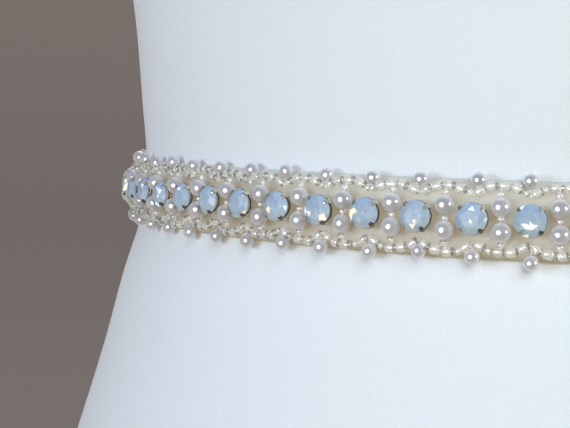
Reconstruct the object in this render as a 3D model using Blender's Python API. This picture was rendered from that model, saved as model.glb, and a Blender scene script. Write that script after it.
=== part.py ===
"""A narrow beaded bridal sash round the waist of a smooth, limbless dress form.

Run with: blender --background --python part.py

Metres, +Z up. The origin is on the form's flat underside, on the waist's upright centre line.
The form faces -Y, so its own left side is at +X.

The sash is built outwards from the form, each layer a small gap off the one below:
  ribbon       a straight ribbon, once round the waist, its ends lapped at centre back
  bead_trim_*  a woven strip of pearls and clear beads in three stretches, sewn on the ribbon
  crystal_*    round stones in metal cups, one in each cell of the weave
  snap_*       two fastened snaps between the ribbon's lapped ends
A place on the sash is given by its run, the length along the waist from centre front towards
+X, its rise above the sash's middle line, and its distance out from the form.
"""

from math import cos, exp, floor, hypot, pi, sin, sqrt

import bmesh
import bpy
import numpy as np
from mathutils import Matrix, Vector

MM = 0.001
GAP = 0.3 * MM

# Dress form: half width, depth of the front and of the back, and how square each level section
# is (2 is an ellipse), all smooth between the rows. Heights are above the underside, in mm.
FORM_ROWS = (
    # height, half_width, front, back, squareness
    (0.0, 166.0, 110.0, 120.0, 2.20),
    (6.0, 169.0, 113.0, 123.0, 2.20),
    (45.0, 171.5, 116.0, 127.0, 2.20),
    (85.0, 168.0, 115.0, 125.0, 2.15),
    (120.0, 158.5, 111.0, 117.0, 2.10),
    (150.0, 147.1, 104.9, 107.0, 2.05),
    (180.0, 137.7, 98.2, 98.5, 2.00),
    (207.0, 129.3, 92.2, 92.2, 2.00),
    (223.0, 123.5, 88.0, 88.0, 2.00),
    (247.0, 121.0, 86.3, 86.3, 2.00),
    (260.0, 122.4, 87.3, 87.6, 2.00),
    (299.0, 126.5, 90.2, 92.5, 2.00),
    (345.0, 135.0, 95.0, 98.5, 2.05),
    (390.0, 143.0, 99.0, 102.0, 2.10),
    (435.0, 147.0, 97.0, 103.0, 2.15),
    (480.0, 149.5, 88.0, 99.0, 2.20),
    (517.0, 154.0, 74.5, 88.0, 2.30),
    (541.0, 156.0, 63.0, 76.0, 2.30),
    (557.0, 150.0, 54.5, 66.0, 2.30),
    (570.0, 125.0, 49.5, 59.0, 2.20),
    (581.0, 94.0, 47.0, 55.5, 2.10),
    (592.0, 70.0, 47.5, 54.0, 2.00),
    (608.0, 58.5, 48.0, 53.0, 2.00),
    (636.0, 54.0, 48.0, 52.0, 2.00),
    (640.0, 52.0, 46.0, 50.0, 2.00),
)
FORM_SIDES = 44
TALL_STEP = 25 * MM
BUST_HEIGHT = 402 * MM
BUST_HALF_SPACING = 72 * MM
BUST_SPREAD = 43 * MM
BUST_FULLNESS = 22 * MM

# The level of the sash's middle line, and the half height of the waist that it bridges.
SASH_HEIGHT = 235 * MM
BRIDGE_HALF = 12 * MM

# Ribbon and its lapped closure at centre back.
RIBBON_HALF_HEIGHT = 10.1 * MM
RIBBON_THICKNESS = 1.0 * MM
RIBBON_STEP = 7.5 * MM
LAP_LENGTH = 30 * MM
LAP_CLIMB = 16 * MM
SNAP_RADIUS = 3.5 * MM
SNAP_THICKNESS = 1.0 * MM
SNAP_RISE = 5.0 * MM
SNAP_SIDES = 12

# Bead weave: a stone in each cell, a pair of pearls between the cells, and an edge pearl
# above and below each stone.
PITCH = 14 * MM
STONE_COUNT = 31
TRIM_THICKNESS = 1.2 * MM
TRIM_HALF_HEIGHT = 9.4 * MM
PAIR_PEARL_RADIUS = 2.5 * MM
PAIR_PEARL_RISE = 3.1 * MM
PAIR_PEARL_OUT = 4.6 * MM
EDGE_PEARL_RADIUS = 2.0 * MM
EDGE_PEARL_RISE = 9.9 * MM
EDGE_PEARL_OUT = 2.4 * MM
RIM_SHARE = 0.98

# The trim's wall has columns and rows only where the pearls need them: their offsets from the
# pearls between the stones, the columns' offsets from the edge pearls, and the outer rows' start
# and shares of the way to the trim's edge.
PAIR_OFFSETS = (-2.5 * MM, -1.7 * MM, 0.0, 1.7 * MM, 2.5 * MM)
EDGE_COLUMNS = (-2.05 * MM, -1.2 * MM, 0.0, 1.2 * MM, 2.05 * MM)
EDGE_ROWS_START = 7.9 * MM
EDGE_ROW_SHARES = (0.0, 0.55, 1.0)
FRONT_STRETCH_STONES = 11

# Mounted stone: a turned profile of cup, girdle and table, from its back outwards.
STONE_SIDES = 12
STONE_ROWS = (
    # radius, depth
    (3.4 * MM, 0.0 * MM),
    (4.3 * MM, 1.2 * MM),
    (4.3 * MM, 2.9 * MM),
    (2.5 * MM, 4.3 * MM),
)

# Distances out from the form to each layer's inner face.
RIBBON_OUT = GAP
SNAP_OUT = RIBBON_OUT + RIBBON_THICKNESS + GAP
LAP_OUT = SNAP_OUT + SNAP_THICKNESS + GAP
TRIM_OUT = RIBBON_OUT + RIBBON_THICKNESS + GAP
STONE_OUT = TRIM_OUT + TRIM_THICKNESS + GAP


# ---------------------------------------------------------------- the form's shape

FORM_TABLE = np.array(FORM_ROWS)
FORM_HEIGHTS = FORM_TABLE[:, 0] * MM
FORM_VALUES = FORM_TABLE[:, 1:] * (MM, MM, MM, 1.0)
FORM_SLOPES = np.gradient(FORM_VALUES, FORM_HEIGHTS, axis=0)


def form_section(height):
    """Half width, front, back and squareness at a height, on cubic curves through the rows."""
    row = int(np.clip(np.searchsorted(FORM_HEIGHTS, height) - 1, 0, len(FORM_HEIGHTS) - 2))
    span = FORM_HEIGHTS[row + 1] - FORM_HEIGHTS[row]
    u = (height - FORM_HEIGHTS[row]) / span
    start = (2 * u**3 - 3 * u**2 + 1) * FORM_VALUES[row]
    end = (3 * u**2 - 2 * u**3) * FORM_VALUES[row + 1]
    start_slope = (u**3 - 2 * u**2 + u) * span * FORM_SLOPES[row]
    end_slope = (u**3 - u**2) * span * FORM_SLOPES[row + 1]
    return start + start_slope + end + end_slope


def signed_power(value, power):
    return abs(value) ** power if value > 0 else -(abs(value) ** power)


def form_point(turn, height):
    """A point on the form; turn is 0 at centre front and a quarter turn at +X."""
    half_width, front, back, squareness = form_section(height)
    x = half_width * signed_power(sin(turn), 2 / squareness)
    depth = front if cos(turn) > 0 else back
    y = -depth * signed_power(cos(turn), 2 / squareness)
    fullness = 0.0
    for centre in (-BUST_HALF_SPACING, BUST_HALF_SPACING):
        from_centre = (x - centre) ** 2 + (height - BUST_HEIGHT) ** 2
        fullness += BUST_FULLNESS * exp(-from_centre / (2 * BUST_SPREAD**2))
    return Vector((x, y - fullness * max(cos(turn), 0.0), height))


# ---------------------------------------------------------------- places on the sash

def bridge_line(turn):
    """Lower and upper end of the straight line that a sash draws across the waist's hollow."""
    low = form_point(turn, SASH_HEIGHT - BRIDGE_HALF)
    high = form_point(turn, SASH_HEIGHT + BRIDGE_HALF)
    return low, high


def waist_runs():
    """Turns round the waist, past both ends of the lap, and the run of each from centre front."""
    turns = np.linspace(-1.25 * pi, 1.25 * pi, 4001)
    middles = [sum(bridge_line(turn), Vector()) / 2 for turn in turns]
    steps = [(b - a).length for a, b in zip(middles, middles[1:])]
    runs = np.concatenate(([0.0], np.cumsum(steps)))
    return turns, runs - np.interp(0.0, turns, runs)


TURNS, RUNS = waist_runs()
HALF_WAIST = float(np.interp(pi, TURNS, RUNS))


def sash_frame(run):
    """Lower point, upper point, direction along and direction out, at one run."""
    turn = float(np.interp(run, RUNS, TURNS))
    low, high = bridge_line(turn)
    step = 0.001
    ahead = sum(bridge_line(turn + step), Vector())
    behind = sum(bridge_line(turn - step), Vector())
    along = (ahead - behind).normalized()
    out = along.cross(high - low).normalized()
    return low, high, along, out


def sash_point(run, rise, out_distance):
    low, high, _, out = sash_frame(run)
    share = (rise + BRIDGE_HALF) / (2 * BRIDGE_HALF)
    return low.lerp(high, share) + out * out_distance


def sash_placement(run, rise, out_distance):
    """World matrix of a piece whose own Z points out from the form and X along the sash."""
    _, _, along, out = sash_frame(run)
    up = out.cross(along)
    place = Matrix((along, up, out)).transposed().to_4x4()
    place.translation = sash_point(run, rise, out_distance)
    return place


# ---------------------------------------------------------------- building

def clear_scene():
    for existing in list(bpy.data.objects):
        bpy.data.objects.remove(existing, do_unlink=True)


def finish_material(name, colour, roughness, metallic=0.0):
    material = bpy.data.materials.new(name)
    material.use_nodes = True
    shader = material.node_tree.nodes["Principled BSDF"]
    shader.inputs["Base Color"].default_value = (*colour, 1.0)
    shader.inputs["Roughness"].default_value = roughness
    shader.inputs["Metallic"].default_value = metallic
    return material


def mesh_from_shape(name, shape, material, sharp_angle):
    bmesh.ops.recalc_face_normals(shape, faces=shape.faces)
    mesh = bpy.data.meshes.new(name)
    shape.to_mesh(mesh)
    shape.free()
    mesh.materials.append(material)
    mesh.shade_smooth()
    mesh.set_sharp_from_angle(angle=sharp_angle)
    return mesh


def add_piece(name, mesh, parent=None):
    piece = bpy.data.objects.new(name, mesh)
    bpy.context.scene.collection.objects.link(piece)
    piece.parent = parent
    return piece


def join_loops(shape, loops):
    """Quads between each pair of neighbouring closed loops of vertices."""
    for first, second in zip(loops, loops[1:]):
        count = len(first)
        for i in range(count):
            j = (i + 1) % count
            shape.faces.new((first[i], first[j], second[j], second[i]))


def turned_shape(rows, sides):
    """A closed solid turned round Z from rows of radius and depth, flat at both ends."""
    shape = bmesh.new()
    loops = []
    for radius, depth in rows:
        angles = [2 * pi * i / sides for i in range(sides)]
        loops.append([shape.verts.new((radius * cos(a), radius * sin(a), depth)) for a in angles])
    join_loops(shape, loops)
    shape.faces.new(loops[0])
    shape.faces.new(loops[-1])
    return shape


def wall_shape(columns):
    """A closed wall along the sash. Each column is its row of outer points and two inner points."""
    shape = bmesh.new()
    outer = []
    inner = []
    for outer_points, inner_points in columns:
        outer.append([shape.verts.new(point) for point in outer_points])
        inner.append([shape.verts.new(point) for point in inner_points])
    for i in range(len(columns) - 1):
        for skin in (outer, inner):
            for j in range(len(skin[i]) - 1):
                shape.faces.new((skin[i][j], skin[i][j + 1], skin[i + 1][j + 1], skin[i + 1][j]))
        for edge in (0, -1):
            shape.faces.new((outer[i][edge], outer[i + 1][edge], inner[i + 1][edge], inner[i][edge]))
    for outer_end, inner_end in ((outer[0], inner[0]), (outer[-1], inner[-1])):
        fan = outer_end + [inner_end[-1]]
        for a, b in zip(fan, fan[1:]):
            shape.faces.new((inner_end[0], a, b))
    return shape


# ---------------------------------------------------------------- dress form

def form_ring_heights():
    """Every row of the table, and a ring half way up each tall step but the one the sash bridges."""
    heights = []
    for low, high in zip(FORM_HEIGHTS, FORM_HEIGHTS[1:]):
        heights.append(low)
        under_sash = low < SASH_HEIGHT < high
        if high - low > TALL_STEP and not under_sash:
            heights.append((low + high) / 2)
    heights.append(FORM_HEIGHTS[-1])
    return heights


def build_dress_form():
    material = finish_material("white_jersey", (0.80, 0.82, 0.85), 0.9)
    turns = [2 * pi * i / FORM_SIDES for i in range(FORM_SIDES)]
    shape = bmesh.new()
    loops = []
    for height in form_ring_heights():
        loops.append([shape.verts.new(form_point(turn, height)) for turn in turns])
    join_loops(shape, loops)
    shape.faces.new(loops[0])
    shape.faces.new(loops[-1])
    add_piece("dress_form", mesh_from_shape("dress_form", shape, material, 0.6))


# ---------------------------------------------------------------- ribbon and snaps

def lap_climb(run):
    """How far the upper end of the ribbon has climbed over the lower one, and over the snaps."""
    lap_start = HALF_WAIST - LAP_LENGTH / 2
    share = min(max((run - lap_start + LAP_CLIMB) / LAP_CLIMB, 0.0), 1.0)
    return (LAP_OUT - RIBBON_OUT) * share * share * (3 - 2 * share)


def build_ribbon(sash):
    material = finish_material("ivory_satin", (0.78, 0.74, 0.64), 0.45)
    end = HALF_WAIST + LAP_LENGTH / 2
    columns = []
    for run in np.linspace(-end, end, int(2 * end / RIBBON_STEP) + 1):
        inner_out = RIBBON_OUT + lap_climb(run)
        edges = (-RIBBON_HALF_HEIGHT, RIBBON_HALF_HEIGHT)
        outer_points = [sash_point(run, rise, inner_out + RIBBON_THICKNESS) for rise in edges]
        inner_points = [sash_point(run, rise, inner_out) for rise in edges]
        columns.append((outer_points, inner_points))
    add_piece("ribbon", mesh_from_shape("ribbon", wall_shape(columns), material, 0.6), sash)


def build_snaps(sash):
    material = finish_material("snap_metal", (0.62, 0.62, 0.62), 0.3, metallic=1.0)
    profile = (
        (0.82 * SNAP_RADIUS, 0.0),
        (SNAP_RADIUS, 0.25 * SNAP_THICKNESS),
        (SNAP_RADIUS, 0.75 * SNAP_THICKNESS),
        (0.82 * SNAP_RADIUS, SNAP_THICKNESS),
    )
    mesh = mesh_from_shape("snap", turned_shape(profile, SNAP_SIDES), material, 0.6)
    for name, rise in (("snap_upper", SNAP_RISE), ("snap_lower", -SNAP_RISE)):
        snap = add_piece(name, mesh, sash)
        snap.matrix_world = sash_placement(HALF_WAIST, rise, SNAP_OUT)


# ---------------------------------------------------------------- bead trim

def stone_runs():
    return [(i - (STONE_COUNT - 1) / 2) * PITCH for i in range(STONE_COUNT)]


def trim_edge(run):
    """Half height of the trim: straight, with an edge pearl standing out at each stone."""
    from_stone = abs(run - PITCH * round(run / PITCH))
    on_pearl = from_stone < EDGE_PEARL_RADIUS and abs(run) < STONE_COUNT * PITCH / 2
    if not on_pearl:
        return TRIM_HALF_HEIGHT
    return EDGE_PEARL_RISE + sqrt(EDGE_PEARL_RADIUS**2 - from_stone**2)


def pearl_out(from_run, from_rise, radius, centre_out):
    """Distance out to a pearl's face at a place beside its centre, or 0 at its rim and off it."""
    span = hypot(from_run, from_rise)
    return centre_out + sqrt(radius**2 - span**2) if span < RIM_SHARE * radius else 0.0


def trim_out(run, rise):
    """Distance out to the trim's face: its plain weave, raised at the pearls."""
    from_stone = run - PITCH * round(run / PITCH)
    from_pair = PITCH / 2 - abs(from_stone)
    pair = pearl_out(from_pair, abs(rise) - PAIR_PEARL_RISE, PAIR_PEARL_RADIUS, PAIR_PEARL_OUT)
    edge = pearl_out(from_stone, abs(rise) - EDGE_PEARL_RISE, EDGE_PEARL_RADIUS, EDGE_PEARL_OUT)
    return max(TRIM_OUT + TRIM_THICKNESS, pair, edge)


def trim_rises(run):
    """Rows of the trim's face at one run, from its lower edge to its upper one."""
    edge = trim_edge(run)
    upper = [PAIR_PEARL_RISE + offset for offset in PAIR_OFFSETS]
    upper += [EDGE_ROWS_START + (edge - EDGE_ROWS_START) * share for share in EDGE_ROW_SHARES]
    return [-rise for rise in reversed(upper)] + upper


def rounded_place(run, rise):
    """Move a place on a square round one of the paired pearls on to the circle inside it."""
    pair_run = PITCH * (floor(run / PITCH) + 0.5)
    pair_rise = PAIR_PEARL_RISE if rise > 0 else -PAIR_PEARL_RISE
    across = run - pair_run
    up = rise - pair_rise
    half_square = max(abs(across), abs(up))
    if half_square > PAIR_PEARL_RADIUS * 1.001 or half_square == 0.0:
        return run, rise
    pull = half_square / hypot(across, up)
    return pair_run + across * pull, pair_rise + up * pull


def trim_columns(first_stone, last_stone):
    """Runs of one stretch's columns. Stretches part just before a stone's edge pearls."""
    stones = stone_runs()
    joint = (PITCH / 2 + PAIR_OFFSETS[-1] + PITCH + EDGE_COLUMNS[0]) / 2
    runs = []
    if first_stone == 0:
        runs += [stones[0] - PITCH / 2 + offset for offset in PAIR_OFFSETS]
    else:
        runs.append(stones[first_stone - 1] + joint + GAP / 2)
    for stone in stones[first_stone:last_stone + 1]:
        runs += [stone + offset for offset in EDGE_COLUMNS]
        runs += [stone + PITCH / 2 + offset for offset in PAIR_OFFSETS]
    if last_stone < STONE_COUNT - 1:
        runs.append(stones[last_stone] + joint - GAP / 2)
    return runs


def trim_face(run):
    """Points of the trim's outer face in the column at one run."""
    points = []
    for rise in trim_rises(run):
        place_run, place_rise = rounded_place(run, rise)
        points.append(sash_point(place_run, place_rise, trim_out(place_run, place_rise)))
    return points


def build_trim(sash):
    material = finish_material("pearls_and_beads", (0.80, 0.78, 0.74), 0.2)
    side_stones = (STONE_COUNT - FRONT_STRETCH_STONES) // 2
    stretches = (
        ("bead_trim_right", 0, side_stones - 1),
        ("bead_trim_front", side_stones, side_stones + FRONT_STRETCH_STONES - 1),
        ("bead_trim_left", side_stones + FRONT_STRETCH_STONES, STONE_COUNT - 1),
    )
    for name, first_stone, last_stone in stretches:
        columns = []
        for run in trim_columns(first_stone, last_stone):
            edge = trim_edge(run)
            inner_points = [sash_point(run, rise, TRIM_OUT) for rise in (-edge, edge)]
            columns.append((trim_face(run), inner_points))
        add_piece(name, mesh_from_shape(name, wall_shape(columns), material, 0.9), sash)


def build_crystals(sash):
    material = finish_material("air_blue_opal", (0.36, 0.50, 0.66), 0.08)
    mesh = mesh_from_shape("crystal", turned_shape(STONE_ROWS, STONE_SIDES), material, 0.5)
    for index, run in enumerate(stone_runs()):
        crystal = add_piece(f"crystal_{index + 1:02d}", mesh, sash)
        crystal.matrix_world = sash_placement(run, 0.0, STONE_OUT)


def main():
    clear_scene()
    sash = add_piece("sash", None)
    build_dress_form()
    build_ribbon(sash)
    build_snaps(sash)
    build_trim(sash)
    build_crystals(sash)


main()
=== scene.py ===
"""Bridal sash on a dress form: the finished look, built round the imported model.

Metres, +Z up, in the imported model's own frame. A place on the sash is given by its run, the
length along the waist from centre front towards +X, its rise above the sash's middle line, and
its distance out from the form. Each operator builds one piece or one group of like pieces.
"""

from math import ceil, cos, pi, radians, sin, tan

import bpy
import numpy as np
from mathutils import Matrix, Vector


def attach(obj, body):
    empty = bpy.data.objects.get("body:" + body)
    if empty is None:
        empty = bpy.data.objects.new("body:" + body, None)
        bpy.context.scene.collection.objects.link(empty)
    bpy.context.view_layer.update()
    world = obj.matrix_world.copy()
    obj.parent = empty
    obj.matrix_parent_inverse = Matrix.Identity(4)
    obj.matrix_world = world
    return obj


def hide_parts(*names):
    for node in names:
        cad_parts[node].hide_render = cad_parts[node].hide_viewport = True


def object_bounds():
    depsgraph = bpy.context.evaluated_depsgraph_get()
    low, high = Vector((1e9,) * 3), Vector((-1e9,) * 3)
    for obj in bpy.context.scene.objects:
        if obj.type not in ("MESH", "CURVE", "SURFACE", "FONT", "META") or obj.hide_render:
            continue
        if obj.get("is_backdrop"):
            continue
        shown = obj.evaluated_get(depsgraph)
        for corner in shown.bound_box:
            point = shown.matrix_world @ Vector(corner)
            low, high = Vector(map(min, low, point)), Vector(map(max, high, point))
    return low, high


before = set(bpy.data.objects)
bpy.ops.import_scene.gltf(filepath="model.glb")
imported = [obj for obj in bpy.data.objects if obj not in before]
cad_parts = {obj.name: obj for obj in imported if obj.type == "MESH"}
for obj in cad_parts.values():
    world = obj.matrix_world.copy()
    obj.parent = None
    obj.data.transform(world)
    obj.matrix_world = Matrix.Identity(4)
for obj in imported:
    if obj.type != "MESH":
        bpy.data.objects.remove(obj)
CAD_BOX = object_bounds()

bl_info = {
    "name": "Bridal sash on a dress form",
    "version": (1, 0, 0),
    "blender": (4, 5, 0),
    "location": "3D View > Sidebar > Sash",
    "description": "Builds a beaded bridal sash and the dress form that wears it",
    "category": "Object",
}

MM = 0.001
GAP = 0.3 * MM
BODY = "root"

# Dress form: half width, depth of the front and of the back, and how square each level section
# is (2 is an ellipse), all smooth between the rows. Heights are above the underside, in mm.
FORM_ROWS = (
    # height, half_width, front, back, squareness
    (0.0, 166.0, 110.0, 120.0, 2.20),
    (6.0, 169.0, 113.0, 123.0, 2.20),
    (45.0, 171.5, 116.0, 127.0, 2.20),
    (85.0, 168.0, 115.0, 125.0, 2.15),
    (120.0, 158.5, 111.0, 117.0, 2.10),
    (150.0, 147.1, 104.9, 107.0, 2.05),
    (180.0, 137.7, 98.2, 98.5, 2.00),
    (207.0, 129.3, 92.2, 92.2, 2.00),
    (223.0, 123.5, 88.0, 88.0, 2.00),
    (247.0, 121.0, 86.3, 86.3, 2.00),
    (260.0, 122.4, 87.3, 87.6, 2.00),
    (299.0, 126.5, 90.2, 92.5, 2.00),
    (345.0, 135.0, 95.0, 98.5, 2.05),
    (390.0, 143.0, 99.0, 102.0, 2.10),
    (435.0, 147.0, 97.0, 103.0, 2.15),
    (480.0, 149.5, 88.0, 99.0, 2.20),
    (517.0, 154.0, 74.5, 88.0, 2.30),
    (541.0, 156.0, 63.0, 76.0, 2.30),
    (557.0, 150.0, 54.5, 66.0, 2.30),
    (570.0, 125.0, 49.5, 59.0, 2.20),
    (581.0, 94.0, 47.0, 55.5, 2.10),
    (592.0, 70.0, 47.5, 54.0, 2.00),
    (608.0, 58.5, 48.0, 53.0, 2.00),
    (636.0, 54.0, 48.0, 52.0, 2.00),
    (640.0, 52.0, 46.0, 50.0, 2.00),
)
BUST_HEIGHT = 402 * MM
BUST_HALF_SPACING = 72 * MM
BUST_SPREAD = 43 * MM
BUST_FULLNESS = 22 * MM

# The level of the sash's middle line, and the half height of the waist that it bridges.
SASH_HEIGHT = 235 * MM
BRIDGE_HALF = 12 * MM

# Ribbon: the wall it fills, its lap at centre back, and the snaps that close it.
RIBBON_HALF_HEIGHT = 10.1 * MM
RIBBON_WALL = 1.0 * MM
RIBBON_OUT = GAP
RIBBON_FACE = RIBBON_OUT + RIBBON_WALL
LAP_LENGTH = 30 * MM
LAP_CLIMB = 16 * MM
SNAP_WALL = 1.0 * MM
SNAP_RISE = 5.0 * MM
SNAP_OUT = RIBBON_FACE + GAP
LAP_OUT = SNAP_OUT + SNAP_WALL + GAP

# Bead weave: a stone in each cell, a pair of pearls between cells, an edge pearl above and
# below each stone. The stones stand on the weave.
PITCH = 14 * MM
STONE_NODES = sorted(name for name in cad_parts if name.startswith("crystal_"))
STONE_COUNT = len(STONE_NODES)
FRONT_STRETCH_STONES = 11
STRETCH_EDGE = 2.3 * MM
PAIR_RISE = 3.1 * MM
PAIR_OUT = 4.6 * MM
EDGE_RISE = 9.9 * MM
EDGE_OUT = 2.4 * MM
TRIM_WALL = 1.2 * MM
STONE_OUT = RIBBON_FACE + GAP + TRIM_WALL + GAP
STRETCHES = ("right", "front", "left")

# Tones of small parts. A plain facet goes no higher than TONE_LIMIT, and a facet above the glint start tone
# shows one of three painted glints, which glow. Bead glass above the hole's start tone is the mouth of its
# hole, painted dark as shade.
PAINTED_GLINT_START = 0.88
PAINTED_GLINT_TONES = (0.92, 0.96, 1.0)
TONE_LIMIT = 0.8
HOLE_SHADE_START = 0.95
HOLE_SHADE_TONE = 1.0


# ---------------------------------------------------------------- the form and places on the sash

FORM_TABLE = np.array(FORM_ROWS) * (MM, MM, MM, MM, 1.0)
FORM_HEIGHTS = FORM_TABLE[:, 0]
FORM_VALUES = FORM_TABLE[:, 1:]
FORM_SLOPES = np.gradient(FORM_VALUES, FORM_HEIGHTS, axis=0)


def form_section(height):
    """Half width, front, back and squareness at a height, on cubic curves through the rows."""
    row = int(np.clip(np.searchsorted(FORM_HEIGHTS, height) - 1, 0, len(FORM_HEIGHTS) - 2))
    span = FORM_HEIGHTS[row + 1] - FORM_HEIGHTS[row]
    u = (height - FORM_HEIGHTS[row]) / span
    start = (2 * u**3 - 3 * u**2 + 1) * FORM_VALUES[row]
    end = (3 * u**2 - 2 * u**3) * FORM_VALUES[row + 1]
    start_slope = (u**3 - 2 * u**2 + u) * span * FORM_SLOPES[row]
    end_slope = (u**3 - u**2) * span * FORM_SLOPES[row + 1]
    return start + start_slope + end + end_slope


def form_points(turns, height):
    """Points round the form at a height; a turn is 0 at centre front and a quarter turn at +X."""
    half_width, front, back, squareness = form_section(height)
    across = np.sin(turns)
    ahead = np.cos(turns)
    x = half_width * np.sign(across) * np.abs(across) ** (2 / squareness)
    depth = np.where(ahead > 0, front, back)
    y = -depth * np.sign(ahead) * np.abs(ahead) ** (2 / squareness)
    for centre in (-BUST_HALF_SPACING, BUST_HALF_SPACING):
        from_centre = (x - centre) ** 2 + (height - BUST_HEIGHT) ** 2
        fullness = BUST_FULLNESS * np.exp(-from_centre / (2 * BUST_SPREAD**2))
        y = y - fullness * np.maximum(ahead, 0.0)
    return np.stack([x, y, np.full_like(x, height)], axis=-1)


def unit(vectors):
    return vectors / np.linalg.norm(vectors, axis=-1, keepdims=True)


def full_turn(sides):
    """Angles spaced evenly round a full turn."""
    return np.arange(sides) * 2 * pi / sides


def distances(path):
    """How far along a path each of its points lies."""
    steps = np.linalg.norm(np.diff(path, axis=0), axis=1)
    return np.concatenate(([0.0], np.cumsum(steps)))


def bridge_lines(turns):
    """Lower and upper ends of the straight lines that the sash draws across the waist's hollow."""
    low = form_points(turns, SASH_HEIGHT - BRIDGE_HALF)
    high = form_points(turns, SASH_HEIGHT + BRIDGE_HALF)
    return low, high


# Turns round the waist, past centre back on both sides, and the run at each of them.
TURNS = np.linspace(-1.25 * pi, 1.25 * pi, 4001)
RUNS = distances(sum(bridge_lines(TURNS)) / 2)
RUNS = RUNS - np.interp(0.0, TURNS, RUNS)
HALF_WAIST = float(np.interp(pi, TURNS, RUNS))
# Half the turn over which a direction along the sash is measured, in radians.
TURN_STEP = 0.001


def sash_frames(runs):
    """Lower points, upper points, directions along and directions out, at these runs."""
    turns = np.interp(runs, RUNS, TURNS)
    low, high = bridge_lines(turns)
    along = unit(sum(bridge_lines(turns + TURN_STEP)) - sum(bridge_lines(turns - TURN_STEP)))
    out = unit(np.cross(along, high - low))
    return low, high, along, out


def sash_points(runs, rises, outs):
    """World points of places on the sash; the three arrays have one shape."""
    low, high, _, out = sash_frames(runs)
    share = ((rises + BRIDGE_HALF) / (2 * BRIDGE_HALF))[..., None]
    return low + (high - low) * share + out * np.asarray(outs)[..., None]


def sash_axes(runs):
    """Directions along, up and out at these runs, as rows of a matrix for each."""
    _, _, along, out = sash_frames(runs)
    return np.stack([along, np.cross(out, along), out], axis=-2)


def stone_runs():
    return (np.arange(STONE_COUNT) - (STONE_COUNT - 1) / 2) * PITCH


def pair_runs():
    return (np.arange(STONE_COUNT + 1) - STONE_COUNT / 2) * PITCH


# ---------------------------------------------------------------- meshes

# A thread is upright where the sine of its angle to Z is below this.
UPRIGHT_LIMIT = 0.05
SHARP_ANGLE = radians(40)


def grid_corners(rows, columns, wrap_rows=False, wrap_columns=False):
    """Row and column of each corner of the quads over a grid of points, not yet wrapped round."""
    row = np.arange(rows if wrap_rows else rows - 1)
    column = np.arange(columns if wrap_columns else columns - 1)
    r, c = (side.ravel() for side in np.meshgrid(row, column, indexing="ij"))
    return np.stack([(r, c), (r, c + 1), (r + 1, c + 1), (r + 1, c)]).transpose(2, 0, 1)


def grid_faces(rows, columns, **wraps):
    """Quads over a grid of points."""
    corners = grid_corners(rows, columns, **wraps)
    return (corners[..., 0] % rows) * columns + corners[..., 1] % columns


def face_middles(points, faces):
    return np.array([points[face].mean(axis=0) for face in faces])


def facing_out(points, faces):
    """Turn a closed solid's faces round where they point inwards."""
    volume = 0.0
    for face in faces:
        corner = points[face[0]]
        for a, b in zip(face[1:], face[2:]):
            volume += np.dot(corner, np.cross(points[a], points[b]))
    return [list(face) if volume > 0 else list(face)[::-1] for face in faces]


def ring_solid(rings):
    """A solid from rings of points, each joined to the next and the last one to the first."""
    faces = grid_faces(*rings.shape[:2], wrap_rows=True, wrap_columns=True)
    points = rings.reshape(-1, 3)
    return points, facing_out(points, faces)


def level_ring(radius, height, angles):
    """Points of a ring round Z. Its radius and height are the same all round or one for each angle."""
    return np.stack([radius * np.cos(angles), radius * np.sin(angles), height + 0 * angles], axis=-1)


def turned(rows, sides):
    """A ring-shaped solid turned round X from a closed outline of (along, radius) rows."""
    rows = np.array(rows)
    angles = full_turn(sides)
    along = np.repeat(rows[:, :1], sides, axis=1)
    across = rows[:, 1:] * np.cos(angles)
    up = rows[:, 1:] * np.sin(angles)
    return ring_solid(np.stack([along, across, up], axis=-1))


def swept(centres, sides_out, sides_up, section):
    """A solid swept along centres; section holds (out, up) pairs, one row for each centre."""
    count, corners = section.shape[:2]
    points = centres[:, None] + section[..., :1] * sides_out[:, None]
    points = (points + section[..., 1:] * sides_up[:, None]).reshape(-1, 3)
    first = np.arange(corners)
    last = (first + (count - 1) * corners)[::-1]
    return points, facing_out(points, [*grid_faces(count, corners, wrap_columns=True), first, last])


def round_section(count, sides, radius):
    angles = full_turn(sides)
    ring = np.stack([np.cos(angles), np.sin(angles)], axis=-1) * radius
    return np.repeat(ring[None], count, axis=0)


def tube(path, radius, sides):
    """A round thread along a path of world points, closed at both ends."""
    ahead = unit(np.gradient(path, axis=0))
    side = np.cross(ahead, (0.0, 0.0, 1.0))
    upright = np.linalg.norm(side, axis=-1) < UPRIGHT_LIMIT
    side[upright] = np.cross(ahead[upright], (1.0, 0.0, 0.0))
    side = unit(side)
    return swept(path, side, np.cross(side, ahead), round_section(len(path), sides, radius))


class Parts:
    """Points, faces and tones of many small solids, gathered for one joined mesh."""

    def __init__(self):
        self.points = []
        self.faces = []
        self.tones = []
        self.count = 0

    def add(self, points, faces, tone=0.5):
        """Add a solid with one tone all over, or with a tone for each of its faces."""
        self.points.append(points)
        self.faces += [[index + self.count for index in face] for face in faces]
        self.tones.append(np.broadcast_to(tone, len(faces)))
        self.count += len(points)


def add_object(name, data):
    """An object of the scene that holds this data."""
    added = bpy.data.objects.new(name, data)
    bpy.context.scene.collection.objects.link(added)
    return added


def smooth_mesh(name, points, faces, material):
    mesh = bpy.data.meshes.new(name)
    mesh.from_pydata([tuple(point) for point in points], [], [list(face) for face in faces])
    mesh.materials.append(material)
    mesh.shade_smooth()
    return mesh


def add_piece(name, points, faces, material, tones=None, uvs=None, sharp=SHARP_ANGLE):
    """One shown piece of the part: a smooth-shaded mesh that rides on the part's body."""
    mesh = smooth_mesh(name, points, faces, material)
    if uvs is not None:
        layer = mesh.uv_layers.new(name="metres")
        layer.data.foreach_set("uv", np.asarray(uvs, np.float32).ravel())
    if tones is not None:
        attribute = mesh.attributes.new("tone", "FLOAT", "FACE")
        attribute.data.foreach_set("value", np.asarray(tones, np.float32))
    mesh.set_sharp_from_angle(angle=sharp)
    piece = add_object(name, mesh)
    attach(piece, BODY)
    return piece


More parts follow.
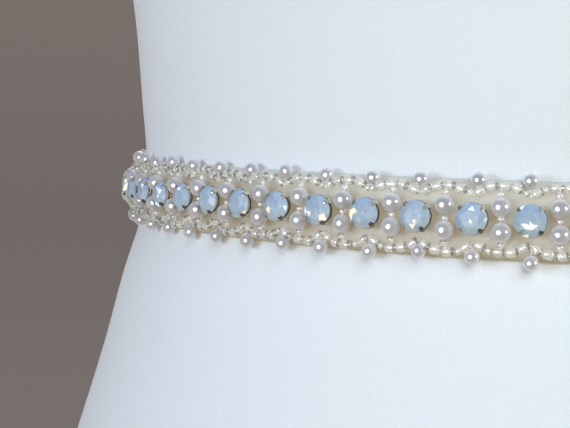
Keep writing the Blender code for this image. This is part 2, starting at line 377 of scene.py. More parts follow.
def add_parts(name, parts, material, sharp=SHARP_ANGLE):
    """One shown piece that joins many small solids."""
    points = np.concatenate(parts.points)
    tones = np.concatenate(parts.tones)
    return add_piece(name, points, parts.faces, material, tones, sharp=sharp)


# ---------------------------------------------------------------- shader nodes

class Wire:
    """A socket in a material. Arithmetic on wires adds Math nodes to the material."""

    def __init__(self, finish, socket):
        self.finish = finish
        self.socket = socket

    def maths(self, operation, *values):
        return self.finish.node("ShaderNodeMath", {"operation": operation}, dict(enumerate(values)))

    def __add__(self, other):
        return self.maths("ADD", self, other)

    def __radd__(self, other):
        return self.maths("ADD", other, self)

    def __sub__(self, other):
        return self.maths("SUBTRACT", self, other)

    def __rsub__(self, other):
        return self.maths("SUBTRACT", other, self)

    def __mul__(self, other):
        return self.maths("MULTIPLY", self, other)

    def __rmul__(self, other):
        return self.maths("MULTIPLY", other, self)

    def __truediv__(self, other):
        return self.maths("DIVIDE", self, other)

    def __pow__(self, other):
        return self.maths("POWER", self, other)

    def __abs__(self):
        return self.maths("ABSOLUTE", self)

    def sine(self):
        return self.maths("SINE", self)

    def below(self, limit):
        return self.maths("LESS_THAN", self, limit)

    def above(self, limit):
        return self.maths("GREATER_THAN", self, limit)


class Finish:
    """A material being made. node() adds any node; surface() ends it."""

    def __init__(self, name):
        self.material = bpy.data.materials.new(name)
        self.material.use_nodes = True
        self.tree = self.material.node_tree
        self.tree.nodes.clear()

    def node(self, kind, settings=None, sockets=None, output=None):
        """Add a node: its settings first, then a value or a wire for each socket named.

        The wire returned leaves the output of this name, or else the first one.
        """
        node = self.tree.nodes.new(kind)
        for name, value in (settings or {}).items():
            if name == "stops":
                self.set_stops(node.color_ramp, value)
            else:
                setattr(node, name, value)
        for name, value in (sockets or {}).items():
            if isinstance(name, str):
                socket = next(s for s in node.inputs if s.name == name and s.enabled)
            else:
                socket = node.inputs[name]
            if isinstance(value, Wire):
                self.tree.links.new(value.socket, socket)
            else:
                socket.default_value = value
        outputs = [s for s in node.outputs if s.enabled]
        return Wire(self, next(s for s in outputs if output in (None, s.name)))

    @staticmethod
    def set_stops(ramp, stops):
        while len(ramp.elements) < len(stops):
            ramp.elements.new(1.0)
        for element, (place, colour) in zip(ramp.elements, stops):
            element.position = place
            element.color = (*colour, 1.0)

    def mix(self, factor, first, second):
        """Blend two colours, each a plain colour or a wire."""
        first, second = (c if isinstance(c, Wire) else (*c, 1.0) for c in (first, second))
        sockets = {"Factor": factor, "A": first, "B": second}
        return self.node("ShaderNodeMix", {"data_type": "RGBA"}, sockets)

    def noise(self, scale, detail, vector=None):
        """Cloudy values near 0.5 over the piece; scale is in cycles a metre."""
        if vector is None:
            vector = self.node("ShaderNodeTexCoord", output="Object")
        sockets = {"Vector": vector, "Scale": scale, "Detail": detail}
        return self.node("ShaderNodeTexNoise", sockets=sockets)

    def metres(self):
        """The piece's flat coordinates in metres, along and up."""
        flat = self.node("ShaderNodeUVMap", {"uv_map": "metres"})
        along = self.node("ShaderNodeSeparateXYZ", sockets={"Vector": flat}, output="X")
        up = self.node("ShaderNodeSeparateXYZ", sockets={"Vector": flat}, output="Y")
        return flat, along, up

    def tone(self):
        """The tone given to each bead or facet of a joined piece, from 0 to 1."""
        return self.node("ShaderNodeAttribute", {"attribute_name": "tone"}, output="Fac")

    def bump(self, height, distance, strength):
        sockets = {"Height": height, "Distance": distance, "Strength": strength}
        return self.node("ShaderNodeBump", sockets=sockets)

    def shone_through(self, shader, colour):
        """The same shader, but lamps shine through it in this colour, as through glass or nacre."""
        passing = self.node("ShaderNodeBsdfTransparent", sockets={"Color": (*colour, 1.0)})
        lamp_ray = self.node("ShaderNodeLightPath", output="Is Shadow Ray")
        return self.node("ShaderNodeMixShader", sockets={0: lamp_ray, 1: shader, 2: passing})

    def surface(self, shader):
        output = self.tree.nodes.new("ShaderNodeOutputMaterial")
        self.tree.links.new(shader.socket, output.inputs["Surface"])
        return self.material


def scaled(colour, share):
    """A colour made darker or lighter, no channel above 1."""
    return tuple(min(channel * share, 1.0) for channel in colour)


# ---------------------------------------------------------------- finishes

def jersey_finish(looks):
    """Fine white knit: columns and rows of tiny loops, slightly uneven in tone, with painted shade in the
    valleys between columns.
    """
    finish = Finish("white_jersey")
    flat, along, up = finish.metres()
    column = (along * (pi / looks.wale_width)).sine()
    loop = (up * (2 * pi / looks.course_height) + abs(column) * 2.2).sine()
    drift = finish.noise(1 / (4 * looks.wale_width), 2.0, flat)
    patches = finish.noise(22.0, 3.0)
    height = abs(column) * 0.7 + loop * 0.12 + drift * 0.7
    shade = finish.mix(patches, scaled(looks.jersey_colour, 0.975), looks.jersey_colour)
    # Painted shade: the valleys between the knit's columns are a little darker.
    shaded_valleys = finish.mix(1.0 - abs(column), shade, scaled(looks.jersey_colour, 0.955))
    speckled = finish.mix(drift * 0.35, shaded_valleys, scaled(looks.jersey_colour, 1.04))
    shader = finish.node("ShaderNodeBsdfPrincipled", sockets={
        "Base Color": speckled,
        "Roughness": 0.92,
        "Specular IOR Level": 0.2,
        "Sheen Weight": 0.12,
        "Sheen Roughness": 0.45,
        "Normal": finish.bump(height, looks.knit_depth, 0.6),
    })
    return finish.surface(shader)


def satin_finish(looks):
    """Ivory satin: fine floats, ribbed selvedges and soft sheen, paler to its upper edge in painted light,
    darker to its foot in painted shade, with a painted glow.
    """
    finish = Finish("ivory_satin")
    flat, along, up = finish.metres()
    floats = (along * (2 * pi / looks.float_width)).sine()
    selvedge = (RIBBON_HALF_HEIGHT - abs(up)).below(looks.selvedge_width)
    ribs = (along * (2 * pi / (6 * looks.float_width))).sine() * selvedge
    clouds = finish.noise(90.0, 3.0)
    # Painted light: the ribbon pales to its upper edge, where the beads leave it unshaded.
    edge = 1.0 - (RIBBON_HALF_HEIGHT - up) / looks.lit_edge_width
    # Painted shade: towards its lower edge the ribbon darkens and glows less, which stands for the beads'
    # shade there.
    foot = 1.0 - (RIBBON_HALF_HEIGHT + up) / looks.foot_shade_width
    flecks = finish.noise(650.0, 2.0)
    dark, light = (scaled(looks.satin_colour, share) for share in (0.80, 1.12))
    colour = finish.mix(clouds * 0.4 + flecks * 0.6, dark, light)
    colour = finish.mix(foot, colour, looks.foot_shade_colour)
    # Painted glow: emission lifts the ribbon where the beads shade it. The glow is weaker towards the foot
    # and fades to none at the upper edge.
    glow = finish.mix(foot, looks.satin_painted_glow, looks.foot_painted_glow)
    shader = finish.node("ShaderNodeBsdfPrincipled", sockets={
        "Base Color": finish.mix(edge, colour, looks.lit_selvedge_colour),
        "Roughness": 0.34 + clouds * 0.12 + selvedge * 0.15,
        "Emission Color": finish.mix(edge, glow, (0.0, 0.0, 0.0)),
        "Emission Strength": 1.0,
        "Sheen Weight": 0.15,
        "Sheen Roughness": 0.3,
        "Normal": finish.bump(floats * 0.3 + ribs + clouds * 0.6, 0.05 * MM, 0.7),
    })
    return finish.surface(finish.shone_through(shader, looks.satin_shadow))


def thread_finish(name, colour, twist):
    """Twisted sewing thread."""
    finish = Finish(name)
    strands = finish.noise(1 / twist, 1.0)
    shader = finish.node("ShaderNodeBsdfPrincipled", sockets={
        "Base Color": finish.mix(strands, scaled(colour, 0.86), colour),
        "Roughness": 0.5,
        "Normal": finish.bump(strands, 0.03 * MM, 0.6),
    })
    return finish.surface(shader)


def pearl_finish(looks):
    """Pearl: a pale grey body under a clear gloss, each pearl a little different, with a painted sheen round
    its rim and a faint painted glow.
    """
    finish = Finish("pearl")
    clouds = finish.noise(420.0, 2.0)
    own = finish.mix(finish.tone(), looks.pearl_colour, looks.pearl_tint)
    body = finish.mix(clouds * 0.35, own, scaled(looks.pearl_colour, 0.85))
    # Painted reflection: the body pales towards the rim, a sheen painted into its colour.
    rim = finish.node("ShaderNodeLayerWeight", sockets={"Blend": 0.5}, output="Facing")
    shader = finish.node("ShaderNodeBsdfPrincipled", sockets={
        "Base Color": finish.mix(rim ** 1.2, body, looks.pearl_painted_rim),
        "Metallic": 0.12,
        "Roughness": 0.3 + clouds * 0.08,
        "Coat Weight": 1.0,
        "Coat Roughness": 0.08,
        "Coat IOR": 2.2,
        "Sheen Weight": 0.3,
        "Sheen Roughness": 0.3,
        "Sheen Tint": (0.92, 0.94, 1.0, 1.0),
        # Painted glow: the pearls give off a little light of their own.
        "Emission Color": (*looks.pearl_painted_glow, 1.0),
        "Emission Strength": 1.0,
        "Normal": finish.bump(clouds, 0.02 * MM, 0.3),
    })
    return finish.surface(finish.shone_through(shader, looks.pearl_shadow))


def glass_finish(looks):
    """Clear bead glass with painted shade in the holes' mouths and a faint painted glow. Lamps shine through
    it, so that it shades little.
    """
    finish = Finish("clear_glass")
    tone = finish.tone()
    ripples = finish.noise(900.0, 1.0)
    clear = finish.mix(tone, looks.glass_colour, scaled(looks.glass_colour, 0.9))
    glass = finish.node("ShaderNodeBsdfPrincipled", sockets={
        # Painted shade: the mouth of each hole is near black.
        "Base Color": finish.mix(tone.above(HOLE_SHADE_START), clear, looks.hole_shade_colour),
        "Roughness": 0.02 + ripples * 0.05,
        "IOR": 1.4,
        "Transmission Weight": 0.52,
        "Coat Weight": 1.0,
        "Coat Roughness": 0.04,
        "Coat IOR": 1.8,
        # Painted glow: the beads give off a little light of their own.
        "Emission Color": (*looks.glass_painted_glow, 1.0),
        "Emission Strength": 1.0,
        "Normal": finish.bump(ripples, 0.03 * MM, 0.35),
    })
    thin = finish.node("ShaderNodeBsdfTransparent", sockets={"Color": (0.95, 0.95, 0.94, 1.0)})
    bead = finish.node("ShaderNodeMixShader", sockets={0: looks.glass_thinness, 1: glass, 2: thin})
    return finish.surface(finish.shone_through(bead, looks.glass_shadow))


def opal_finish(looks):
    """Milky air-blue glass over foil. Each facet has its own tone, and the palest ones carry painted glints
    that glow.
    """
    finish = Finish("air_blue_opal")
    tone = finish.tone()
    milk = finish.noise(520.0, 2.0)
    painted_glints = zip(PAINTED_GLINT_TONES, (looks.stone_cool_glint, looks.stone_warm_glint, looks.stone_yellow_glint))
    stops = ((0.0, looks.stone_deep), (0.45, looks.stone_colour), (TONE_LIMIT, looks.stone_pale), *painted_glints)
    facet = finish.node("ShaderNodeValToRGB", {"stops": stops}, {"Fac": tone})
    colour = finish.mix(milk * 0.5, facet, looks.stone_pale)
    shader = finish.node("ShaderNodeBsdfPrincipled", sockets={
        "Base Color": colour,
        "Roughness": 0.05 + milk * 0.06,
        "IOR": 1.34,
        "Specular IOR Level": 0.12,
        "Transmission Weight": 0.12,
        # Painted glints: the palest facets glow.
        "Emission Color": finish.mix(tone.above(PAINTED_GLINT_START), (0.0, 0.0, 0.0), facet),
        "Emission Strength": 0.45,
        "Normal": finish.bump(milk, 0.01 * MM, 0.2),
    })
    return finish.surface(finish.shone_through(shader, looks.stone_shadow))


def silver_finish(looks):
    """Silver plate, painted dark as shade and dark reflection where its tone is low, dulled a little where
    it is rubbed.
    """
    finish = Finish("silver_plate")
    rub = finish.noise(700.0, 3.0)
    tone = finish.tone()
    plate = finish.mix(tone, looks.shaded_metal_colour, looks.bright_metal_colour)
    shader = finish.node("ShaderNodeBsdfPrincipled", sockets={
        "Base Color": finish.mix(rub * 0.28, plate, (0.05, 0.05, 0.05)),
        "Metallic": 1.0 - tone * 0.45,
        "Roughness": 0.14 + rub * 0.14,
        "Normal": finish.bump(rub, 0.02 * MM, 0.4),
    })
    return finish.surface(finish.shone_through(shader, looks.metal_shadow))


def stage_finish(looks):
    """Even paint for the floor and its wall, palest round the foot of the form."""
    finish = Finish("pale_stage")
    grain = finish.noise(3.0, 3.0)
    place = finish.node("ShaderNodeTexCoord", output="Object")
    reach = finish.node("ShaderNodeVectorMath", {"operation": "LENGTH"}, {0: place}, output="Value")
    near = finish.node("ShaderNodeMapRange", {"interpolation_type": "SMOOTHSTEP"}, {
        "Value": reach,
        "From Min": STAGE_PALE_REACH[0],
        "From Max": STAGE_PALE_REACH[1],
        "To Min": 1.0,
        "To Max": 0.0,
    })
    plain = finish.mix(grain, scaled(looks.stage_colour, 0.985), looks.stage_colour)
    shader = finish.node("ShaderNodeBsdfPrincipled", sockets={
        "Base Color": finish.mix(near, plain, looks.floor_colour),
        "Roughness": 0.95,
        "Specular IOR Level": 0.1,
        "Emission Color": (*looks.stage_glow, 1.0),
        "Emission Strength": 1.0,
    })
    return finish.surface(shader)


# ---------------------------------------------------------------- dress form

FORM_SIDES = 176
FORM_RING_STEP = 4 * MM
EDGE_ROUNDING = 6 * MM
# Levels of the rings over the rounded edges, in shares of the rounding: up from the foot, and down
# from the top of the neck.
FOOT_EDGE_STEPS = (0.0, 0.12, 0.3, 0.6, 1.0)
NECK_EDGE_STEPS = (0.4, 0.15, 0.0)
FOOT_HOLLOW = 0.8 * MM
NECK_GROOVE = 0.9 * MM
NECK_DOME = 1.5 * MM
# Rings that close the underside and the neck: share of the section there, and lift.
FOOT_RINGS = (
    (0.25, FOOT_HOLLOW), (0.80, FOOT_HOLLOW), (0.86, FOOT_HOLLOW), (0.875, 0.0), (0.95, 0.0),
)
NECK_RINGS = (
    (0.975, 0.0), (0.955, -NECK_GROOVE), (0.93, 0.1 * MM), (0.8, 0.6 * NECK_DOME),
    (0.5, NECK_DOME), (0.2, NECK_DOME),
)


def closing_rings(section, rings):
    return [section * (share, share, 1.0) + (0, 0, lift) for share, lift in rings]


def form_rings():
    """Level rings of the cover from its underside's middle, up the sides, to the neck's middle."""
    turns = full_turn(FORM_SIDES)
    top = FORM_HEIGHTS[-1]
    foot_edge = EDGE_ROUNDING * np.array(FOOT_EDGE_STEPS)
    sides = np.arange(EDGE_ROUNDING + FORM_RING_STEP, top - EDGE_ROUNDING / 2, FORM_RING_STEP)
    neck_edge = top - EDGE_ROUNDING * np.array(NECK_EDGE_STEPS)
    rings = closing_rings(form_points(turns, 0.0), FOOT_RINGS)
    rings += [form_points(turns, height) for height in (*foot_edge, *sides, *neck_edge)]
    rings += closing_rings(form_points(turns, top), NECK_RINGS)
    return np.array(rings)


def build_dress_form(looks):
    rings = form_rings()
    shape = rings.shape[:2]
    quads = grid_faces(*shape, wrap_columns=True)[:, ::-1]
    corners = grid_corners(*shape, wrap_columns=True)[:, ::-1]
    steps = np.linalg.norm(np.diff(rings, axis=0), axis=-1).mean(axis=1)
    heights = np.concatenate(([0.0], np.cumsum(steps)))[corners[..., 0]]
    around = corners[..., 1] / FORM_SIDES * 2 * HALF_WAIST
    points = rings.reshape(-1, 3)
    foot = np.arange(FORM_SIDES)[::-1]
    neck = np.arange(FORM_SIDES) + (len(rings) - 1) * FORM_SIDES
    side_uvs = np.stack([around, heights], axis=-1).reshape(-1, 2)
    uvs = np.concatenate([side_uvs, points[foot][:, :2], points[neck][:, :2]])
    faces = [*quads, foot, neck]
    cover = add_piece("dress_form_cover", points, faces, jersey_finish(looks), uvs=uvs)
    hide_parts("dress_form")


# ---------------------------------------------------------------- ribbon

# Points over the ribbon: a station every so often along it, and columns closer at its edges.
RIBBON_STATION = 2.5 * MM
RIBBON_COLUMNS = 15
COLUMN_POWER = 0.8
HEM_LENGTH = 9 * MM
HEM_STEPS = 5
# The hem's fold: from the ribbon's middle line to the hem's, in thicknesses of the ribbon.
FOLD_WIDTH = 1.2
FOLD_STEPS = 7
EDGE_CURL = 0.62 * MM
CURL_POWER = 9
RIPPLES = (
    # run from the lap's middle, length along, height, slant
    (-98 * MM, 9 * MM, 0.16 * MM, 0.5),
    (-71 * MM, 13 * MM, -0.14 * MM, -0.4),
    (-47 * MM, 8 * MM, 0.20 * MM, 0.7),
    (-28 * MM, 6 * MM, -0.12 * MM, 0.2),
    (30 * MM, 7 * MM, 0.15 * MM, -0.6),
    (52 * MM, 12 * MM, -0.13 * MM, 0.5),
    (83 * MM, 10 * MM, 0.18 * MM, -0.3),
)


def lap_climb(runs):
    """How far the upper end of the ribbon has climbed over the lower one, and over the snaps."""
    lap_start = HALF_WAIST - LAP_LENGTH / 2
    share = np.clip((runs - lap_start + LAP_CLIMB) / LAP_CLIMB, 0.0, 1.0)
    return (LAP_OUT - RIBBON_OUT) * share * share * (3 - 2 * share)


def ripple(runs, rises):
    """Small soft creases in the bare stretches of the ribbon, on both sides of the lap."""
    height = np.zeros_like(runs)
    for place, length, depth, slant in RIPPLES:
        centre = HALF_WAIST + place if place < 0 else -HALF_WAIST + place
        height += depth * np.exp(-(((runs - centre) + slant * rises) / (length / 2)) ** 2)
    return height


def ribbon_path(thickness):
    """The ribbon's middle line as runs and distances out, from one folded hem to the other."""
    end = HALF_WAIST + LAP_LENGTH / 2
    fold = thickness * FOLD_WIDTH
    main = np.linspace(-end, end, ceil(2 * end / RIBBON_STATION))
    middle = RIBBON_FACE - thickness / 2 + lap_climb(main)
    hem = np.linspace(HEM_LENGTH, 0.0, HEM_STEPS)
    bend = np.linspace(-pi / 2, pi / 2, FOLD_STEPS)[1:-1]
    reach = fold / 2 * np.cos(bend)
    lift = fold / 2 * np.sin(bend)
    runs = [-end + hem, -end - reach, main, end + reach, end - hem[::-1]]
    outs = [middle[0] - fold + 0 * hem, middle[0] - fold / 2 + lift, middle]
    outs += [middle[-1] - fold / 2 - lift, middle[-1] - fold + 0 * hem]
    return np.concatenate(runs), np.concatenate(outs)


def ribbon_skin(runs, outs, rises, offset):
    """Places over one face of the ribbon, this far out from its middle line."""
    ahead = unit(np.stack([np.gradient(runs), np.gradient(outs)], axis=-1))
    curl = -EDGE_CURL * np.abs(rises / RIBBON_HALF_HEIGHT) ** CURL_POWER
    run_grid = (runs - ahead[:, 1] * offset)[:, None] + 0 * rises
    rise_grid = rises + 0 * run_grid
    out_grid = (outs + ahead[:, 0] * offset)[:, None] + curl
    return np.stack([run_grid, rise_grid, out_grid + ripple(run_grid, rise_grid)], axis=-1)


def ribbon_loops(runs, outs, thickness):
    """Places round the ribbon at each station: its face, upper edge, back and lower edge."""
    columns = np.linspace(-1, 1, RIBBON_COLUMNS)
    reach = RIBBON_HALF_HEIGHT - thickness / 2
    rises = np.sign(columns) * np.abs(columns) ** COLUMN_POWER * reach
    face = ribbon_skin(runs, outs, rises, thickness / 2)
    back = ribbon_skin(runs, outs, rises, -thickness / 2)
    middle = (face + back) / 2
    lower = middle[:, :1] - (0.0, thickness / 2, 0.0)
    upper = middle[:, -1:] + (0.0, thickness / 2, 0.0)
    return np.concatenate([face, upper, back[:, ::-1], lower], axis=1)


def build_ribbon(looks):
    runs, outs = ribbon_path(looks.ribbon_thickness)
    loops = ribbon_loops(runs, outs, looks.ribbon_thickness)
    stations, around, _ = loops.shape
    points = sash_points(*np.moveaxis(loops, -1, 0)).reshape(-1, 3)
    lengths = distances(sash_points(runs, 0 * runs, outs))
    rises = loops[..., 1]
    flat = np.stack([lengths[:, None] + 0 * rises, rises], axis=-1).reshape(-1, 2)
    quads = grid_faces(stations, around, wrap_columns=True)
    first = np.arange(around)
    last = (first + (stations - 1) * around)[::-1]
    uvs = np.concatenate([flat[quads].reshape(-1, 2), flat[first], flat[last]])
    ribbon = add_piece("ribbon_satin_band", points, [*quads, first, last], satin_finish(looks),
                       uvs=uvs, sharp=radians(60))
    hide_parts("ribbon")


# ---------------------------------------------------------------- stitches

STITCH_SIDES = 6
STITCH_STEPS = 6
# A stitch arches this many radii of its thread, its ends sink by this share of that, and the next
# one starts this many stitch lengths after it.
STITCH_LIFT = 1.3
STITCH_SINK = 0.3
STITCH_SPACING = 1.5
STITCH_SLANT = 0.15 * MM
STITCH_MARGIN = 1.2 * MM
HEM_STITCH_INSETS = (2.2 * MM, 7.0 * MM)
# Two tacks above and two below each pair of pearls. They start TACK_SHIFT to each side of it, and
# end nearer the middle line, at TACK_END_SHARE of that shift and TACK_CLIMB further out.
TACK_RISE = 9.25 * MM
TACK_SHIFT = 2.1 * MM
TACK_END_SHARE = 0.55
TACK_LENGTH = 1.5 * MM
TACK_CLIMB = 0.5 * MM


def lay_thread(parts, places, radius, sides):
    """Add a round thread along places on the sash."""
    parts.add(*tube(sash_points(*np.asarray(places).T), radius, sides))


def add_stitch(parts, start, end, radius):
    """Add a stitch from one hole to the next: up, over and down again."""
    share = np.linspace(0, 1, STITCH_STEPS)
    arc = np.array(start) + np.subtract(end, start) * share[:, None]
    lift = radius * STITCH_LIFT
    arc[:, 2] += lift * np.sin(pi * share) ** 0.5 - STITCH_SINK * lift
    lay_thread(parts, arc, radius, STITCH_SIDES)


def build_stitches(looks):
    """Running stitches across both folded hems, and tacking stitches along the bead trim."""
    parts = Parts()
    radius = looks.stitch_radius
    length = looks.stitch_length
    end = HALF_WAIST + LAP_LENGTH / 2
    reach = RIBBON_HALF_HEIGHT - STITCH_MARGIN
    for side in (-1, 1):
        for inset in HEM_STITCH_INSETS:
            run = side * (end - inset)
            face = RIBBON_FACE + float(lap_climb(np.array(run)))
            for rise in np.arange(-reach, reach - length, length * STITCH_SPACING):
                add_stitch(parts, (run, rise, face), (run + STITCH_SLANT, rise + length, face), radius)
    for run in pair_runs():
        for side in (-1, 1):
            for shift in (-TACK_SHIFT, TACK_SHIFT):
                start = (run + shift, side * TACK_RISE, RIBBON_FACE)
                end_rise = side * (TACK_RISE - TACK_LENGTH)
                finish = (run + shift * TACK_END_SHARE, end_rise, RIBBON_FACE + TACK_CLIMB)
                add_stitch(parts, start, finish, radius)
    material = thread_finish("sewing_thread", looks.thread_colour, 0.4 * MM)
    add_parts("ribbon_stitches", parts, material)


# ---------------------------------------------------------------- pearls and glass beads

# Pearls and beads of radius 1: their drill holes and, for a bead, its outline from the lip of the
# hole to its middle as (along, radius).
PEARL_SIDES = 24
PEARL_ARCS = 13
PEARL_HOLE = 0.17
PEARL_BORE = 0.82 * PEARL_HOLE
PEARL_BORE_END = 0.93
BEAD_SIDES = 14
BEAD_HOLE = 0.34
BEAD_BORE_END = 0.40
BEAD_ROWS = ((0.44, 1.35 * BEAD_HOLE), (0.48, 0.64), (0.46, 0.76), (0.34, 0.91), (0.14, 0.99))
BEAD_MOUTH_START = 0.36

# The weave's paths: scallops of beads along both edges, risers up to them, and a bead in the middle.
SCALLOP_FOOT = 5.9 * MM
SCALLOP_CREST = 8.35 * MM
SCALLOP_POWER = 2.6
SCALLOP_OUT = 2.75 * MM
SCALLOP_STEPS = 33
STRING_INSET = 0.1 * MM
RISER_RISE = 6.35 * MM
RISER_OUT = 3.7 * MM
RISER_LEAN = 0.5
MIDDLE_OUT = 4.3 * MM
BEAD_THREAD_SIDES = 5

# How unevenly the weave lies. Seeds keep it the same each time.
EDGE_PEARL_SEED = 11
EDGE_PEARL_SPREAD = 0.22 * MM
EDGE_PEARL_LIFT = 0.12 * MM
PAIR_PEARL_SEED = 12
PAIR_PEARL_SPREAD = 0.12 * MM
PAIR_PEARL_LIFT = 0.08 * MM
PEARL_TILT = radians(5)
PEARL_SIZE_SPREAD = 0.012
BEAD_SEED = 13
BEAD_SPREAD = 0.1 * MM
BEAD_TURN_SPREAD = 0.09
BEAD_LENGTH_SPREAD = 0.04
BEAD_RADIUS_SPREAD = 0.03
BEAD_TONES = (0.0, 0.9)
BEAD_MOUTHS = (0.75, 0.9, 0.9)
SCALLOP_SEED = 14
SCALLOP_SPREAD = 0.18 * MM
EDGE_PEARL_SHIFTS = {
    # stone: along and outwards in mm of its upper edge pearl, then of its lower one
    11: (-0.46, -0.54, 0.9, 0.3),
    12: (0.45, 0.22, 1.0, 0.0),
    13: (0.34, -0.28, 1.0, 0.3),
    14: (0.9, -0.23, 1.0, 0.3),
    15: (0.78, -0.21, 0.7, 0.42),
    16: (0.24, -0.05, 0.43, -0.02),
    17: (0.25, -0.53, -0.55, 0.02),
    18: (0.55, -0.6, 0.26, -0.04),
    19: (0.07, -0.44, -0.03, -1.1),
    20: (1.1, -0.13, -0.22, -0.33),
    21: (-0.05, 0.05, 0.13, 0.51),
}


def pearl_solid():
    """A pearl of radius 1 drilled along X, which is later set upright on the sash."""
    first = np.arcsin(PEARL_HOLE)
    rows = [(cos(a), sin(a)) for a in np.linspace(first, pi - first, PEARL_ARCS)]
    rows += [(-PEARL_BORE_END, PEARL_BORE), (PEARL_BORE_END, PEARL_BORE)]
    return turned(rows, PEARL_SIDES)


def bead_solid():
    """A glass bead about 1 long and of radius 1, with rounded ends and a hole along X."""
    rows = [*BEAD_ROWS, *((-along, radius) for along, radius in reversed(BEAD_ROWS))]
    rows += [(-BEAD_BORE_END, BEAD_HOLE), (BEAD_BORE_END, BEAD_HOLE)]
    return turned(rows, BEAD_SIDES)


def bead_tones(points, faces, tone, mouth):
    """One tone for a bead's glass, and round the mouth of the hole at one end the tone that paints the
    hole's shade.
    """
    along, across, up = face_middles(points, faces).T
    in_shaded_mouth = (along > BEAD_MOUTH_START) & (np.hypot(across, up) < mouth)
    return np.where(in_shaded_mouth, HOLE_SHADE_TONE, tone)


def edge_pearl_places():
    """Run, rise and distance out of each edge pearl, upper row and lower row."""
    dice = np.random.default_rng(EDGE_PEARL_SEED)
    rows = []
    for side in (1, -1):
        runs = stone_runs() + dice.normal(0, EDGE_PEARL_SPREAD, STONE_COUNT)
        rises = side * (EDGE_RISE + dice.normal(0, EDGE_PEARL_SPREAD, STONE_COUNT))
        for stone, shifts in EDGE_PEARL_SHIFTS.items():
            along, outwards = shifts[:2] if side > 0 else shifts[2:]
            runs[stone] = stone_runs()[stone] + along * MM
            rises[stone] = side * (EDGE_RISE + outwards * MM)
        outs = EDGE_OUT + np.abs(dice.normal(0, EDGE_PEARL_LIFT, STONE_COUNT))
        rows.append(np.stack([runs, rises, outs], axis=-1))
    return rows


def pair_pearl_places():
    """Run, rise and distance out of each pearl between stones, upper row and lower row."""
    dice = np.random.default_rng(PAIR_PEARL_SEED)
    count = STONE_COUNT + 1
    rows = []
    for side in (1, -1):
        runs = pair_runs() + dice.normal(0, PAIR_PEARL_SPREAD, count)
        rises = side * (PAIR_RISE + np.abs(dice.normal(0, PAIR_PEARL_LIFT, count)))
        outs = PAIR_OUT + dice.normal(0, PAIR_PEARL_LIFT, count)
        rows.append(np.stack([runs, rises, outs], axis=-1))
    return rows


def scallop_path(run, side, crest):
    """Places along the scallop of beads that springs from above one stone to above the next."""
    u = np.linspace(0, 1, SCALLOP_STEPS)
    rise = SCALLOP_FOOT + (crest - SCALLOP_FOOT) * (1 - np.abs(2 * u - 1) ** SCALLOP_POWER)
    return np.stack([run + PITCH * u, side * rise, np.full_like(u, SCALLOP_OUT)], axis=-1)


def scallops():
    """Each scallop's path, upper row and then lower row, with slightly uneven crests."""
    dice = np.random.default_rng(SCALLOP_SEED)
    for side in (1, -1):
        for run in stone_runs()[:-1]:
            yield scallop_path(run, side, SCALLOP_CREST + dice.normal(0, SCALLOP_SPREAD))


def strung(path, lengths):
    """Centres and directions of beads set one after another on a path, evenly spaced."""
    reach = distances(path)
    gap = (reach[-1] - 2 * STRING_INSET - sum(lengths)) / (len(lengths) + 1)
    places = []
    start = STRING_INSET + gap
    for length in lengths:
        first, last = (np.array([np.interp(spot, reach, axis) for axis in path.T])
                       for spot in (start, start + length))
        places.append(((first + last) / 2, unit(last - first)))
        start += length + gap
    return places


def stretch_of(run):
    """Which stretch of the trim a place belongs to: right, front or left."""
    edge = FRONT_STRETCH_STONES / 2 * PITCH - PITCH / 2 + STRETCH_EDGE
    if run < -edge:
        return "right"
    return "left" if run > edge + PITCH - 2 * STRETCH_EDGE else "front"


def place_small(parts, solid, place, direction, scale, roll, tone):
    """Add a small solid whose own X follows a direction given along, up and out on the sash."""
    axes = sash_axes(np.array(place[0]))
    ahead = unit(np.asarray(direction) @ axes)
    side = unit(np.cross(axes[2], ahead))
    top = np.cross(ahead, side)
    across = side * cos(roll) + top * sin(roll)
    turn = np.stack([ahead, across, np.cross(ahead, across)])
    centre = sash_points(*[np.array(value) for value in place])
    points, faces = solid
    parts.add((points * scale) @ turn + centre, faces, tone)


def build_pearls(looks):
    """Pearls in three stretches; each stands for its stretch of the trim."""
    material = pearl_finish(looks)
    solid = pearl_solid()
    dice = np.random.default_rng(PAIR_PEARL_SEED)
    stretches = {name: Parts() for name in STRETCHES}
    for rows, radius in ((pair_pearl_places(), looks.pair_pearl_radius),
                         (edge_pearl_places(), looks.edge_pearl_radius)):
        for row in rows:
            for place in row:
                tilt = dice.normal(0, PEARL_TILT, 2)
                direction = (tan(tilt[0]), 1.0, tan(tilt[1]))
                size = radius * (1 + dice.normal(0, PEARL_SIZE_SPREAD))
                parts = stretches[stretch_of(place[0])]
                place_small(parts, solid, place, direction, size, dice.uniform(0, 2 * pi), dice.uniform())
    for name, parts in stretches.items():
        pearls = add_parts(f"pearls_{name}", parts, material)
        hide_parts(f"bead_trim_{name}")


